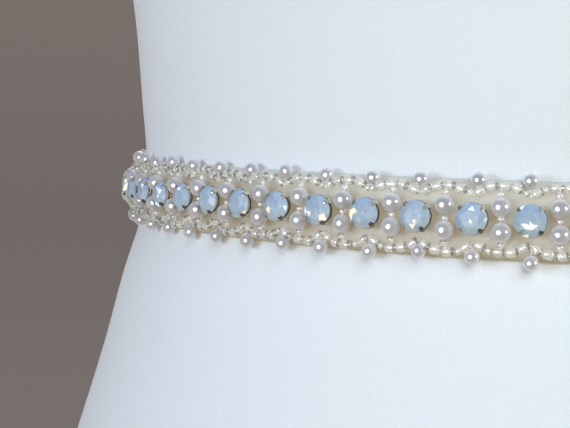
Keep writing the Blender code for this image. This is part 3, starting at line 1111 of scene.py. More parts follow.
def bead_rows(looks):
    """Every glass bead of the weave: place, direction, length and radius."""
    dice = np.random.default_rng(BEAD_SEED)
    small = (looks.seed_length, looks.seed_radius)
    tiny = (looks.riser_length, looks.seed_radius)
    big = (looks.big_bead_length, looks.big_bead_radius)
    rows = []
    for path in scallops():
        kinds = [big] * 4
        kinds.insert(int(dice.choice((0, 1, 3, 4))), small)
        places = strung(path, [length for length, _ in kinds])
        rows += [(place, ahead, *kind) for (place, ahead), kind in zip(places, kinds)]
    for run in pair_runs():
        rows.append((np.array((run, 0.0, MIDDLE_OUT)), np.array((0.0, 1.0, 0.0)), *tiny))
        for side in (1, -1):
            place = np.array((run, side * RISER_RISE, RISER_OUT))
            rows.append((place, np.array((0.0, 1.0, -RISER_LEAN * side)), *small))
    loosened = []
    for place, ahead, length, radius in rows:
        shifted = place + dice.normal(0, BEAD_SPREAD, 3)
        shifted[2] = max(shifted[2], RIBBON_FACE + radius)
        aimed = ahead + dice.normal(0, BEAD_TURN_SPREAD, 3)
        length *= 1 + dice.normal(0, BEAD_LENGTH_SPREAD)
        radius *= 1 + dice.normal(0, BEAD_RADIUS_SPREAD)
        loosened.append((shifted, aimed, length, radius))
    return loosened


def build_glass_beads(looks):
    """Clear glass beads in the same three stretches as the pearls."""
    material = glass_finish(looks)
    solid = bead_solid()
    dice = np.random.default_rng(BEAD_SEED)
    stretches = {name: Parts() for name in STRETCHES}
    for place, ahead, length, radius in bead_rows(looks):
        tones = bead_tones(*solid, dice.uniform(*BEAD_TONES), dice.choice(BEAD_MOUTHS))
        size = (length, radius, radius)
        parts = stretches[stretch_of(place[0])]
        place_small(parts, solid, place, ahead, size, dice.uniform(0, 2 * pi), tones)
    for name, parts in stretches.items():
        add_parts(f"glass_beads_{name}", parts, material)


def build_bead_thread(looks):
    """The clear thread that the beads are woven on, where it shows between them."""
    upper_end, lower_end = ((side * SCALLOP_CREST, SCALLOP_OUT) for side in (1, -1))
    upper_riser, lower_riser = ((side * RISER_RISE, RISER_OUT) for side in (1, -1))
    paths = list(scallops())
    for upper, lower in zip(*pair_pearl_places()):
        run = upper[0]
        paths.append([(run, *upper_end), (run, *upper_riser), upper, (run, 0.0, MIDDLE_OUT),
                      lower, (run, *lower_riser), (run, *lower_end)])
    for pearl in np.concatenate(edge_pearl_places()):
        foot = pearl * (1.0, 0.0, 0.0) + (0.0, np.sign(pearl[1]) * SCALLOP_FOOT, SCALLOP_OUT)
        paths.append([foot, (foot + pearl) / 2, pearl])
    parts = Parts()
    for path in paths:
        lay_thread(parts, path, looks.bead_thread_radius, BEAD_THREAD_SIDES)
    material = thread_finish("bead_thread", looks.bead_thread_colour, 0.3 * MM)
    add_parts("bead_thread", parts, material)


# ---------------------------------------------------------------- stones and their cups

GIRDLE_RADIUS = 4.14 * MM
GIRDLE_TOP = 2.9 * MM
GIRDLE_FOOT = 2.6 * MM
TABLE_RADIUS = 2.3 * MM
TABLE_DEPTH = 4.25 * MM
CROWN_MIDDLE = 3.3 * MM
CULET_RADIUS = 0.3 * MM
CULET_DEPTH = 0.55 * MM
PAVILION_MIDDLE = 1.9 * MM
WEDGE_SHARE = 0.48
STONE_SEED = 21
STONE_TILT = radians(2.0)

# A facet's tone at the stone's middle, its rise along and its fall upwards over the stone's radius, which
# paint light that pales the stone towards its lower edge, and its random spread.
FACET_TONE = 0.42
FACET_LIT_RISE_ALONG = 0.10
FACET_LIT_FALL_UP = 0.30
FACET_SPREAD = 0.11
# Random painted glints: how far out they may be, in shares of the stone's radius, and how many at most.
PAINTED_GLINT_REACH = 0.7
MOST_PAINTED_GLINTS = 3
COOL, WARM, FIRE = PAINTED_GLINT_TONES
STONE_PAINTED_GLINTS = {
    # stone: along and up in shares of its radius, and tone, of each painted glint; where two of them fall on
    # one facet, the later one holds
    9: ((0.1, 0.1, WARM), (0.4, 0.2, WARM), (0.85, 0.2, WARM), (0.85, -0.1, WARM), (0.6, 0.5, WARM),
        (0.6, -0.2, WARM)),
    10: (),
    11: ((0.5, 0.5, COOL),),
    12: ((0.3, 0.15, COOL), (0.35, -0.15, COOL), (0.15, 0.35, COOL), (0.6, 0.2, COOL), (0.1, -0.7, COOL)),
    13: ((0.2, 0.6, COOL),),
    14: ((0.5, -0.75, WARM),),
    15: ((0.6, -0.55, FIRE), (-0.8, -0.1, WARM)),
    16: ((-0.45, -0.25, FIRE), (-0.3, -0.4, FIRE), (0.8, -0.1, COOL)),
    17: ((0.6, -0.3, WARM), (-0.35, -0.15, WARM), (-0.75, -0.2, COOL)),
    18: ((-0.8, -0.4, COOL), (-0.9, 0.1, WARM), (-0.8, -0.1, WARM), (-0.6, 0.0, WARM),
         (-0.45, 0.1, WARM)),
    19: ((0.05, -0.3, WARM), (0.05, -0.55, WARM)),
    20: ((0.1, 0.7, COOL), (0.1, -0.14, WARM)),
    21: ((-0.3, -0.28, COOL), (-0.18, -0.38, COOL), (-0.04, -0.42, COOL), (0.1, -0.42, COOL),
         (0.22, -0.33, COOL), (0.08, -0.22, WARM), (-0.15, -0.75, WARM), (-0.5, 0.6, COOL)),
}
CUP_SIDES = 48
CUP_FOOT = 0.02 * MM
CUP_SEAT = 1.3 * MM
CUP_RIM = 2.05 * MM
CUP_WAVE = 0.5 * MM
CUP_ROWS = (
    # radius in mm, the level it is measured from, and its height above that level in mm
    (3.25, "foot", 0.00),
    (3.70, "foot", 0.35),
    (4.10, "foot", 1.05),
    (4.19, "seat", 0.00),
    (4.19, "rim", -0.50),
    (4.19, "rim", -0.08),
    (4.13, "rim", 0.00),
    (4.07, "rim", -0.08),
    (4.06, "seat", 0.00),
    (3.60, "foot", 0.50),
    (2.40, "foot", 0.20),
    (2.40, "foot", 0.00),
)
CUP_TWIST = radians(5)
# Above this height a cup is painted dark, as shade and dark reflection, where the cosine between its side
# and the sash's run is more than this.
SHADED_SIDE_HEIGHT = 1.72 * MM
SHADED_SIDE_START = 0.55
# Angle round the stone in degrees: tone of the claw there, above the height that follows; the low tones are
# painted shade and dark reflection.
CLAW_SHADE_TONES = {45: 0.9, 135: 0.6, 225: 0.7, 315: 0.1}
CLAW_SHADE_HEIGHT = 2.5 * MM
CLAW_DEGREES_SPREAD = 3
# Share of a claw's half width and half thickness at which its cut corners start.
CLAW_CORNER = 0.7
CLAW_ROWS = (
    # radius, depth, half width, all in mm
    (4.30, 1.00, 0.60),
    (4.34, 1.90, 0.58),
    (4.34, 2.70, 0.55),
    (4.26, 3.14, 0.53),
    (4.02, 3.44, 0.52),
    (3.74, 3.68, 0.44),
    (3.52, 3.84, 0.34),
    (3.42, 3.91, 0.17),
)
CLAW_HALF_THICKNESS = 0.19 * MM


def cut_half(flat_radius, flat_depth, middle_radius, girdle_depth):
    """Points and facets of one side of a brilliant cut: flat top, stars, kites and girdle facets.

    The flat top is parted into the wedges that the facets below it show through it.
    """
    eighths = np.arange(8) * pi / 4
    sixteenths = np.arange(16) * pi / 8
    fall = (girdle_depth - flat_depth) / (GIRDLE_RADIUS - flat_radius)
    middle_depth = flat_depth + fall * (middle_radius * cos(pi / 8) - flat_radius)
    rings = (
        (flat_radius * WEDGE_SHARE, flat_depth, eighths),
        (flat_radius, flat_depth, eighths + pi / 8),
        (middle_radius, middle_depth, eighths),
        (GIRDLE_RADIUS, girdle_depth, sixteenths),
    )
    points = [(0.0, 0.0, flat_depth)]
    points += [(radius * cos(a), radius * sin(a), depth) for radius, depth, angles in rings for a in angles]
    # the first point of each ring
    wedge, flat, middle, girdle = 1, 9, 17, 25
    faces = []
    for k in range(8):
        before, after = (k - 1) % 8, (k + 1) % 8
        faces.append([0, wedge + k, wedge + after])
        faces.append([wedge + k, flat + k, wedge + after])
        faces.append([wedge + k, flat + before, flat + k])
        faces.append([flat + before, middle + k, flat + k])
        faces.append([flat + k, middle + k, girdle + 2 * k + 1, middle + after])
        faces.append([middle + k, girdle + 2 * k, girdle + 2 * k + 1])
        faces.append([middle + k, girdle + (2 * k - 1) % 16, girdle + 2 * k])
    return np.array(points), faces


def stone_solid():
    crown, crown_faces = cut_half(TABLE_RADIUS, TABLE_DEPTH, CROWN_MIDDLE, GIRDLE_TOP)
    pavilion, pavilion_faces = cut_half(CULET_RADIUS, CULET_DEPTH, PAVILION_MIDDLE, GIRDLE_FOOT)
    shift = len(crown)
    faces = crown_faces + [[index + shift for index in face][::-1] for face in pavilion_faces]
    girdle = shift - 16
    for j in range(16):
        after = (j + 1) % 16
        faces.append([girdle + j, shift + girdle + j, shift + girdle + after, girdle + after])
    return np.concatenate([crown, pavilion]), faces


def facet_tones(points, faces, dice, painted_glints):
    """Tones of one stone's facets: paler towards the lower left of the wearer in painted light, and some
    with painted glints.
    """
    middles = face_middles(points, faces) / GIRDLE_RADIUS
    along, up, depth = middles.T
    # Painted light: the tone rises along the stone and falls upwards over it.
    tones = FACET_TONE - FACET_LIT_FALL_UP * up + FACET_LIT_RISE_ALONG * along
    tones = np.clip(tones + dice.normal(0, FACET_SPREAD, len(faces)), 0.0, TONE_LIMIT)
    for flash_along, flash_up, tone in painted_glints:
        away = np.hypot(along - flash_along, up - flash_up)
        away[depth * GIRDLE_RADIUS < GIRDLE_TOP] = np.inf
        tones[np.argmin(away)] = tone
    return tones


def random_painted_glints(dice):
    """A few painted glints for a stone, each a place in shares of its radius and a tone."""
    count = dice.integers(MOST_PAINTED_GLINTS + 1)
    return [(*dice.uniform(-PAINTED_GLINT_REACH, PAINTED_GLINT_REACH, 2), dice.choice(PAINTED_GLINT_TONES)) for _ in range(count)]


def rotation(angle, axis):
    """Matrix that turns rows of points by an angle about one of their own axes."""
    return np.array(Matrix.Rotation(angle, 3, axis).transposed())


def stone_placements(dice):
    """Axes and centres of the stones' own frames; rows of the axes are along, up and out."""
    runs = stone_runs()
    centres = sash_points(runs, 0 * runs, STONE_OUT + 0 * runs)
    placements = []
    for axes, centre in zip(sash_axes(runs), centres):
        lean = Matrix.Rotation(dice.normal(0, STONE_TILT), 3, "X")
        lean = lean @ Matrix.Rotation(dice.normal(0, STONE_TILT), 3, "Y")
        placements.append((np.array(lean.transposed()) @ axes, centre))
    return placements


def build_stones(looks):
    """Cut stones with painted glints listed one by one at the front and random ones elsewhere, as one piece.
    """
    dice = np.random.default_rng(STONE_SEED)
    parts = Parts()
    points, faces = stone_solid()
    for stone, (axes, centre) in enumerate(stone_placements(dice)):
        spun = points @ rotation(dice.uniform(0, 2 * pi), "Z")
        painted_glints = STONE_PAINTED_GLINTS.get(stone, random_painted_glints(dice))
        parts.add(spun @ axes + centre, faces, facet_tones(spun, faces, dice, painted_glints))
    stones = add_parts("stones", parts, opal_finish(looks), sharp=radians(2))
    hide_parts(*STONE_NODES)


def cup_solid():
    """A thin cup with a wavy rim, high at the claws, and an open back seat."""
    angles = full_turn(CUP_SIDES)
    levels = {
        "foot": CUP_FOOT,
        "seat": CUP_SEAT,
        "rim": CUP_RIM + CUP_WAVE * np.abs(np.sin(2 * angles)) ** 3,
    }
    rings = [level_ring(radius * MM, levels[level] + rise * MM, angles) for radius, level, rise in CUP_ROWS]
    return ring_solid(np.array(rings))


def wall_tones(points, faces):
    """Bright silver all round a cup, but a rim painted dark on its side towards the wearer's left, as shade
    and dark reflection.
    """
    along, up, out = face_middles(points, faces).T
    shaded_side = (along / np.hypot(along, up) > SHADED_SIDE_START) & (out > SHADED_SIDE_HEIGHT)
    return np.where(shaded_side, 0.0, 1.0)


def claw_solid(turn):
    """A flat prong that rises from the cup and bends over the stone's edge."""
    radii, depths, half_widths = (np.array(CLAW_ROWS) * MM).T[..., None]
    outward = np.array((cos(turn), sin(turn), 0.0))
    across = np.array((-sin(turn), cos(turn), 0.0))
    centres = radii * outward + depths * np.array((0.0, 0.0, 1.0))
    normals = np.cross(across, unit(np.gradient(centres, axis=0)))
    corner = CLAW_CORNER
    outline = np.array(((1, corner), (corner, 1), (-corner, 1), (-1, corner),
                        (-1, -corner), (-corner, -1), (corner, -1), (1, -corner)))
    reach = np.concatenate([half_widths, np.full_like(half_widths, CLAW_HALF_THICKNESS)], axis=-1)
    sideways = np.repeat(across[None], len(centres), axis=0)
    return swept(centres, sideways, normals, outline * reach[:, None])


def build_cups(looks):
    """A silver cup with four claws for each stone, all as one piece."""
    dice = np.random.default_rng(STONE_SEED)
    parts = Parts()
    cup, cup_faces = cup_solid()
    cup_tones = wall_tones(cup, cup_faces)
    for axes, centre in stone_placements(dice):
        spin = rotation(dice.normal(0, CUP_TWIST), "Z")
        parts.add(cup @ spin @ axes + centre, cup_faces, cup_tones)
        # Each claw is painted darker or lighter by where it stands round the stone: painted shade and dark
        # reflection.
        for angle, tone in CLAW_SHADE_TONES.items():
            claw, claw_faces = claw_solid(radians(angle + dice.normal(0, CLAW_DEGREES_SPREAD)))
            low = face_middles(claw, claw_faces)[:, 2] < CLAW_SHADE_HEIGHT
            parts.add(claw @ spin @ axes + centre, claw_faces, np.where(low, 1.0, tone))
    add_parts("stone_cups", parts, silver_finish(looks), sharp=radians(50))


# ---------------------------------------------------------------- snaps

SNAP_SIDES = 40
SNAP_ROWS = (
    # radius, depth, all in mm: a sewn-on disc with a raised middle, half of the fastened pair
    (3.50, 0.10), (3.50, 0.30), (3.30, 0.40), (2.30, 0.42), (2.05, 0.50), (1.20, 0.50),
)
SNAP_MIDDLE = SNAP_WALL / (2 * MM)
SNAP_LOBE_DEPTH = 0.07
SNAP_LOBED_RADIUS = 3.0


def snap_solid():
    """A fastened stud and socket: two lobed discs back to back."""
    angles = full_turn(SNAP_SIDES)
    lobes = 1 - SNAP_LOBE_DEPTH * np.abs(np.sin(2 * angles)) ** 4
    rows = [(radius, SNAP_MIDDLE - depth) for radius, depth in SNAP_ROWS]
    rows += [(radius, SNAP_MIDDLE + depth) for radius, depth in reversed(SNAP_ROWS)]
    rings = []
    for radius, depth in rows:
        lobed = lobes if radius > SNAP_LOBED_RADIUS else 1.0
        rings.append(level_ring(radius * MM * lobed, depth * MM, angles))
    return ring_solid(np.array(rings))


def build_snaps(looks):
    solid, faces = snap_solid()
    material = silver_finish(looks)
    axes = sash_axes(np.array(HALF_WAIST))
    tones = np.ones(len(faces))
    for name, rise in (("snap_upper", SNAP_RISE), ("snap_lower", -SNAP_RISE)):
        points = solid @ axes + sash_points(np.array(HALF_WAIST), np.array(rise), np.array(SNAP_OUT))
        snap = add_piece(f"{name}_disc", points, faces, material, tones)
        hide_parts(name)


# ---------------------------------------------------------------- stage, light and camera

STAGE_SIDES = 96
STAGE_FLAT_RADII = (0.4, 1.5, 3.0)
STAGE_CURVE = 1.0
STAGE_CURVE_STEPS = 13
STAGE_WALL = 4.0
STAGE_PALE_REACH = (0.22, 0.62)

LAMPS = (
    # name, place, size, whether it lights, whether it leaves highlights
    ("key", (-0.24, -0.73, 0.32), 0.30, True, False),
    ("side", (1.1, 0.25, 0.42), 0.36, False, True),
    ("room", (1.05, -0.60, 0.95), 1.4, True, False),
    ("back", (-1.15, 1.08, 0.75), 1.0, True, True),
    ("glint", (0.10, -0.37, 0.25), 0.24, False, True),
)
# Where on the way from straight down to straight up the room's light is its low and high colour.
WORLD_STOPS = (0.3, 0.75)

CAMERA_PLACE = (0.2745, -0.3318, SASH_HEIGHT + 0.0248)
CAMERA_YAW = radians(-46.93)
CAMERA_PITCH = radians(-4.27)
CAMERA_ROLL = radians(1.12)
CAMERA_LENS = 82.1
CAMERA_CLIP_START = 0.01


def build_floor(looks):
    """A round pale floor that curves up into a wall all round."""
    edge = STAGE_FLAT_RADII[-1]
    rows = [(radius, 0.0) for radius in STAGE_FLAT_RADII]
    for angle in np.linspace(0, pi / 2, STAGE_CURVE_STEPS)[1:]:
        rows.append((edge + STAGE_CURVE * sin(angle), STAGE_CURVE * (1 - cos(angle))))
    rows.append((edge + STAGE_CURVE, STAGE_WALL))
    angles = full_turn(STAGE_SIDES)
    points = np.concatenate([level_ring(radius, height, angles) for radius, height in rows])
    faces = [*grid_faces(len(rows), STAGE_SIDES, wrap_columns=True)[:, ::-1], range(STAGE_SIDES)]
    floor = add_object("studio_floor", smooth_mesh("studio_floor", points, faces, stage_finish(looks)))
    floor.visible_diffuse = False
    floor.visible_glossy = False
    floor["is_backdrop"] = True
    return floor


def add_lamp(looks, name, place, size, lights, glints):
    """A round soft lamp that faces the sash and isn't seen itself.

    A lamp that only lights leaves no highlights, and one that only glints leaves nothing else.
    """
    data = bpy.data.lights.new(f"{name}_lamp", "AREA")
    data.shape = "DISK"
    data.size = size
    data.energy = getattr(looks, f"{name}_energy")
    data.color = getattr(looks, f"{name}_colour")
    lamp = add_object(f"{name}_lamp", data)
    lamp.location = place
    towards = Vector((0.0, 0.0, SASH_HEIGHT)) - Vector(place)
    lamp.rotation_euler = towards.to_track_quat("-Z", "Y").to_euler()
    lamp.visible_camera = False
    lamp.visible_glossy = glints
    lamp.visible_diffuse = lights
    lamp.visible_transmission = lights
    return lamp


def build_world(looks):
    """Light from all round, which changes from its low colour below to its high colour above."""
    world = bpy.data.worlds.new("studio")
    world.use_nodes = True
    tree = world.node_tree
    coordinates = tree.nodes.new("ShaderNodeTexCoord")
    split = tree.nodes.new("ShaderNodeSeparateXYZ")
    ramp = tree.nodes.new("ShaderNodeValToRGB")
    shift = tree.nodes.new("ShaderNodeMath")
    shift.operation = "MULTIPLY_ADD"
    shift.inputs[1].default_value = 0.5
    shift.inputs[2].default_value = 0.5
    Finish.set_stops(ramp.color_ramp, tuple(zip(WORLD_STOPS, (looks.world_low, looks.world_high))))
    tree.links.new(coordinates.outputs["Generated"], split.inputs[0])
    tree.links.new(split.outputs["Z"], shift.inputs[0])
    tree.links.new(shift.outputs[0], ramp.inputs[0])
    tree.links.new(ramp.outputs[0], tree.nodes["Background"].inputs["Color"])
    tree.nodes["Background"].inputs["Strength"].default_value = looks.world_strength
    bpy.context.scene.world = world


def build_camera():
    yaw, pitch, roll = CAMERA_YAW, CAMERA_PITCH, CAMERA_ROLL
    ahead = Vector((sin(yaw) * cos(pitch), cos(yaw) * cos(pitch), sin(pitch)))
    right = Vector((cos(yaw), -sin(yaw), 0.0))
    up = right.cross(ahead)
    rolled_right = right * cos(roll) + up * sin(roll)
    rolled_up = up * cos(roll) - right * sin(roll)
    data = bpy.data.cameras.new("camera")
    data.lens = CAMERA_LENS
    data.clip_start = CAMERA_CLIP_START
    camera = add_object("camera", data)
    camera.matrix_world = Matrix((rolled_right, rolled_up, -ahead)).transposed().to_4x4()
    camera.location = CAMERA_PLACE
    bpy.context.scene.camera = camera


def build_stage(looks):
    """The floor, the room's light, the lamps and the camera. The back lamp leaves the floor unlit."""
    bpy.context.scene.view_settings.view_transform = "Standard"
    floor = build_floor(looks)
    build_world(looks)
    lamps = {name: add_lamp(looks, name, *settings) for name, *settings in LAMPS}
    unlit = bpy.data.collections.new("unlit_by_back_lamp")
    unlit.objects.link(floor)
    unlit.collection_objects[0].light_linking.link_state = "EXCLUDE"
    lamps["back"].light_linking.receiver_collection = unlit
    build_camera()


# ---------------------------------------------------------------- sizes and colours

def length(name, description, default):
    return bpy.props.FloatProperty(name=name, description=description, default=default, min=0.0,
                                   precision=5, unit="LENGTH")


def colour(name, description, default):
    return bpy.props.FloatVectorProperty(name=name, description=description, default=default,
                                         size=3, min=0.0, max=1.0, subtype="COLOR")


def amount(name, description, default):
    return bpy.props.FloatProperty(name=name, description=description, default=default, min=0.0)


class FormLooks(bpy.types.PropertyGroup):
    jersey_colour: colour("Jersey colour", "Colour of the form's knitted cover", (0.83, 0.86, 0.89))
    wale_width: length("Wale width", "Width of one column of knit loops at the waist", 0.55 * MM)
    course_height: length("Course height", "Height of one row of knit loops", 0.5 * MM)
    knit_depth: length("Knit depth", "How deep the knit's grooves are", 0.09 * MM)


class RibbonLooks(bpy.types.PropertyGroup):
    satin_colour: colour("Satin colour", "Colour of the ribbon", (0.325, 0.365, 0.365))
    # Painted glow: emission on the ribbon that stands in for light between the beads.
    satin_painted_glow: colour("Satin glow", "Light that comes through between the beads", (0.152, 0.108, 0.052))
    satin_shadow: colour("Satin shadow colour", "Light that the satin lets through", (0.72, 0.68, 0.60))
    # Painted shade at the ribbon's foot, with a weaker painted glow.
    foot_shade_colour: colour("Foot colour", "Colour of the ribbon near its lower edge", (0.275, 0.284, 0.25))
    foot_painted_glow: colour("Foot glow", "Light that comes through near the lower edge", (0.128, 0.085, 0.036))
    # Painted light: the ribbon's upper edge, lit where the beads cast no shade.
    lit_selvedge_colour: colour("Selvedge colour", "Colour of the ribbon's upper edge", (0.56, 0.57, 0.545))
    thread_colour: colour("Thread colour", "Colour of the sewing thread", (0.82, 0.78, 0.68))
    ribbon_thickness: length("Ribbon thickness", "Thickness of the satin", 0.35 * MM)
    float_width: length("Float width", "Width of one satin float", 0.18 * MM)
    selvedge_width: length("Selvedge width", "Width of the ribbon's two ribbed edges", 0.9 * MM)
    # Width of the painted light along the ribbon's upper edge.
    lit_edge_width: length("Fade width", "Width over which the ribbon pales to its upper edge", 2.6 * MM)
    # Width of the painted shade at the ribbon's foot.
    foot_shade_width: length("Foot width", "Width over which the ribbon darkens to its lower edge", 6.0 * MM)
    stitch_length: length("Stitch length", "Length of one running stitch", 1.5 * MM)
    stitch_radius: length("Stitch radius", "Radius of the sewing thread", 0.12 * MM)


class BeadLooks(bpy.types.PropertyGroup):
    pearl_colour: colour("Pearl colour", "Body colour of the pearls", (0.325, 0.312, 0.347))
    pearl_tint: colour("Pearl tint", "Second colour that some pearls lean to", (0.42, 0.41, 0.44))
    # Painted reflection: the pale sheen painted round each pearl's rim.
    pearl_painted_rim: colour("Pearl rim colour", "Colour of the lustre round a pearl's rim", (0.90, 0.89, 0.92))
    # Painted glow: a little light that the pearls give off, though they are no lamps.
    pearl_painted_glow: colour("Pearl glow", "Light that the nacre scatters within", (0.055, 0.053, 0.055))
    # Painted glow: a little light that the clear beads give off, though they are no lamps.
    glass_painted_glow: colour("Glass glow", "Light that the clear beads scatter within", (0.034, 0.037, 0.034))
    glass_colour: colour("Glass colour", "Colour of the clear beads", (0.93, 0.93, 0.935))
    glass_thinness: amount("Glass thinness", "Share of light that passes the clear beads unbent", 0.42)
    glass_shadow: colour("Glass shadow colour", "Light that the clear beads let through", (0.78, 0.74, 0.66))
    pearl_shadow: colour("Pearl shadow colour", "Light that the pearls let through", (0.36, 0.20, 0.0))
    # Painted shade in the mouths of the beads' holes.
    hole_shade_colour: colour("Hole colour", "Colour inside the beads' holes", (0.06, 0.055, 0.04))
    bead_thread_colour: colour("Bead thread colour", "Colour of the weaving thread", (0.86, 0.86, 0.84))
    pair_pearl_radius: length("Pair pearl radius", "Radius of the pearls between stones", 2.5 * MM)
    edge_pearl_radius: length("Edge pearl radius", "Radius of the pearls on the edges", 2.0 * MM)
    seed_length: length("Seed bead length", "Length of a small glass bead", 1.45 * MM)
    seed_radius: length("Seed bead radius", "Radius of a small glass bead", 0.93 * MM)
    riser_length: length("Riser bead length", "Length of the glass bead between two pearls", 1.1 * MM)
    big_bead_length: length("Big bead length", "Length of a large glass bead", 2.85 * MM)
    big_bead_radius: length("Big bead radius", "Radius of a large glass bead", 1.35 * MM)
    bead_thread_radius: length("Bead thread radius", "Radius of the weaving thread", 0.11 * MM)


class StoneLooks(bpy.types.PropertyGroup):
    stone_colour: colour("Stone colour", "Colour of the opal glass", (0.385, 0.49, 0.625))
    stone_deep: colour("Stone deep colour", "Colour of the darkest facets", (0.25, 0.37, 0.585))
    stone_pale: colour("Stone pale colour", "Colour of the palest facets", (0.58, 0.66, 0.725))
    # Painted glints: colours of the three glints painted on the stones' palest facets, which glow.
    stone_cool_glint: colour("Stone glow colour", "Colour of the foil's cool flash", (0.80, 0.88, 1.0))
    stone_warm_glint: colour("Stone flash colour", "Colour of the foil's warm flash", (1.0, 0.93, 0.60))
    stone_yellow_glint: colour("Stone fire colour", "Colour of the foil's yellow flash", (1.0, 0.76, 0.36))
    # Painted shade and dark reflection: colour of the silver where its tone is low.
    shaded_metal_colour: colour("Metal colour", "Colour of the silver where it is tarnished", (0.13, 0.12, 0.12))
    metal_shadow: colour("Metal shadow colour", "Light that comes round the thin cups", (0.30, 0.19, 0.05))
    stone_shadow: colour("Stone shadow colour", "Light that the stones let through", (0.62, 0.50, 0.33))
    bright_metal_colour: colour("Bright metal colour", "Colour of clean silver", (0.78, 0.75, 0.68))


class StageLooks(bpy.types.PropertyGroup):
    stage_colour: colour("Stage colour", "Colour of the floor and its curved wall", (0.20, 0.20, 0.20))
    floor_colour: colour("Floor colour", "Colour of the floor round the form", (0.62, 0.61, 0.59))
    stage_glow: colour("Stage glow", "Even light on the floor and its wall", (0.155, 0.130, 0.122))
    world_low: colour("Low room colour", "Colour of the light from below", (0.40, 0.345, 0.222))
    world_high: colour("High room colour", "Colour of the light from above", (0.0, 0.0, 0.0))
    world_strength: amount("Room strength", "Strength of the light from all round", 1.0)
    key_colour: colour("Key colour", "Colour of the small front lamp", (0.72, 0.817, 1.0))
    key_energy: amount("Key power", "Power of the small front lamp in watts", 2.55)
    side_colour: colour("Side colour", "Colour of the side lamp", (1.0, 0.98, 0.94))
    side_energy: amount("Side power", "Power of the side lamp in watts", 14.0)
    room_colour: colour("Window colour", "Colour of the large soft lamp", (0.855, 0.94, 1.0))
    room_energy: amount("Window power", "Power of the large soft lamp in watts", 18.9)
    back_colour: colour("Back colour", "Colour of the soft lamp behind the form", (1.0, 0.99, 0.96))
    back_energy: amount("Back power", "Power of the soft lamp behind the form in watts", 12.0)
    glint_colour: colour("Glint colour", "Colour of the lamp that only leaves highlights", (1.0, 1.0, 1.0))
    glint_energy: amount("Glint power", "Power of the lamp that only leaves highlights, in watts", 1.7)


# ---------------------------------------------------------------- operators and panel

class SASH_OT_stage(bpy.types.Operator):
    """Set the floor, the lamps and the camera"""
    bl_idname = "sash.stage"
    bl_label = "Stage"

    def execute(self, context):
        build_stage(context.scene.stage_looks)
        return {"FINISHED"}


class SASH_OT_dress_form(bpy.types.Operator):
    """Cover the dress form in fine white jersey"""
    bl_idname = "sash.dress_form"
    bl_label = "Dress form"

    def execute(self, context):
        build_dress_form(context.scene.form_looks)
        return {"FINISHED"}


class SASH_OT_ribbon(bpy.types.Operator):
    """Lay the satin ribbon round the waist, its ends lapped at centre back"""
    bl_idname = "sash.ribbon"
    bl_label = "Ribbon"

    def execute(self, context):
        build_ribbon(context.scene.ribbon_looks)
        return {"FINISHED"}


class SASH_OT_stitches(bpy.types.Operator):
    """Sew the ribbon's hems and tack the bead trim to it"""
    bl_idname = "sash.stitches"
    bl_label = "Stitches"

    def execute(self, context):
        build_stitches(context.scene.ribbon_looks)
        return {"FINISHED"}


class SASH_OT_pearls(bpy.types.Operator):
    """String the pearls between the stones and along both edges"""
    bl_idname = "sash.pearls"
    bl_label = "Pearls"

    def execute(self, context):
        build_pearls(context.scene.bead_looks)
        return {"FINISHED"}


class SASH_OT_glass_beads(bpy.types.Operator):
    """String the clear glass beads round the stones and pearls"""
    bl_idname = "sash.glass_beads"
    bl_label = "Glass beads"

    def execute(self, context):
        build_glass_beads(context.scene.bead_looks)
        return {"FINISHED"}


class SASH_OT_bead_thread(bpy.types.Operator):
    """Run the weaving thread through the beads"""
    bl_idname = "sash.bead_thread"
    bl_label = "Bead thread"

    def execute(self, context):
        build_bead_thread(context.scene.bead_looks)
        return {"FINISHED"}


class SASH_OT_stones(bpy.types.Operator):
    """Set the cut stones along the middle line"""
    bl_idname = "sash.stones"
    bl_label = "Stones"

    def execute(self, context):
        build_stones(context.scene.stone_looks)
        return {"FINISHED"}


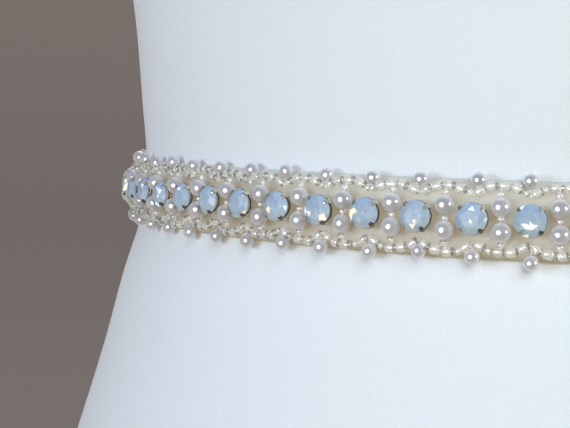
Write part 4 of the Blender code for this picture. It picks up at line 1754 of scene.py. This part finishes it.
class SASH_OT_cups(bpy.types.Operator):
    """Make the silver cups and claws that hold the stones"""
    bl_idname = "sash.cups"
    bl_label = "Cups"

    def execute(self, context):
        build_cups(context.scene.stone_looks)
        return {"FINISHED"}


class SASH_OT_snaps(bpy.types.Operator):
    """Make the two fastened snaps between the ribbon's ends"""
    bl_idname = "sash.snaps"
    bl_label = "Snaps"

    def execute(self, context):
        build_snaps(context.scene.stone_looks)
        return {"FINISHED"}


LOOKS = {
    "stage_looks": StageLooks,
    "form_looks": FormLooks,
    "ribbon_looks": RibbonLooks,
    "bead_looks": BeadLooks,
    "stone_looks": StoneLooks,
}
OPERATORS = (
    SASH_OT_stage, SASH_OT_dress_form, SASH_OT_ribbon, SASH_OT_stitches, SASH_OT_pearls,
    SASH_OT_glass_beads, SASH_OT_bead_thread, SASH_OT_stones, SASH_OT_cups, SASH_OT_snaps,
)


class SASH_PT_panel(bpy.types.Panel):
    """Lists the pieces with their sizes and colours"""
    bl_idname = "SASH_PT_panel"
    bl_label = "Bridal sash"
    bl_space_type = "VIEW_3D"
    bl_region_type = "UI"
    bl_category = "Sash"

    def draw(self, context):
        for operator in OPERATORS:
            self.layout.operator(operator.bl_idname)
        for name, looks in LOOKS.items():
            box = self.layout.box()
            for property_name in looks.__annotations__:
                box.prop(getattr(context.scene, name), property_name)


def register():
    for looks_name, looks in LOOKS.items():
        bpy.utils.register_class(looks)
        setattr(bpy.types.Scene, looks_name, bpy.props.PointerProperty(type=looks))
    for added in (*OPERATORS, SASH_PT_panel):
        bpy.utils.register_class(added)


def unregister():
    for added in (SASH_PT_panel, *reversed(OPERATORS)):
        bpy.utils.unregister_class(added)
    for looks_name, looks in LOOKS.items():
        delattr(bpy.types.Scene, looks_name)
        bpy.utils.unregister_class(looks)


def main():
    register()
    for operator in OPERATORS:
        group, name = operator.bl_idname.split(".")
        getattr(getattr(bpy.ops, group), name)()
    boxes = {"cad": CAD_BOX, "visual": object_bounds()}
    {name: [list(corner) for corner in box] for name, box in boxes.items()}


if __name__ == "__main__":
    main()
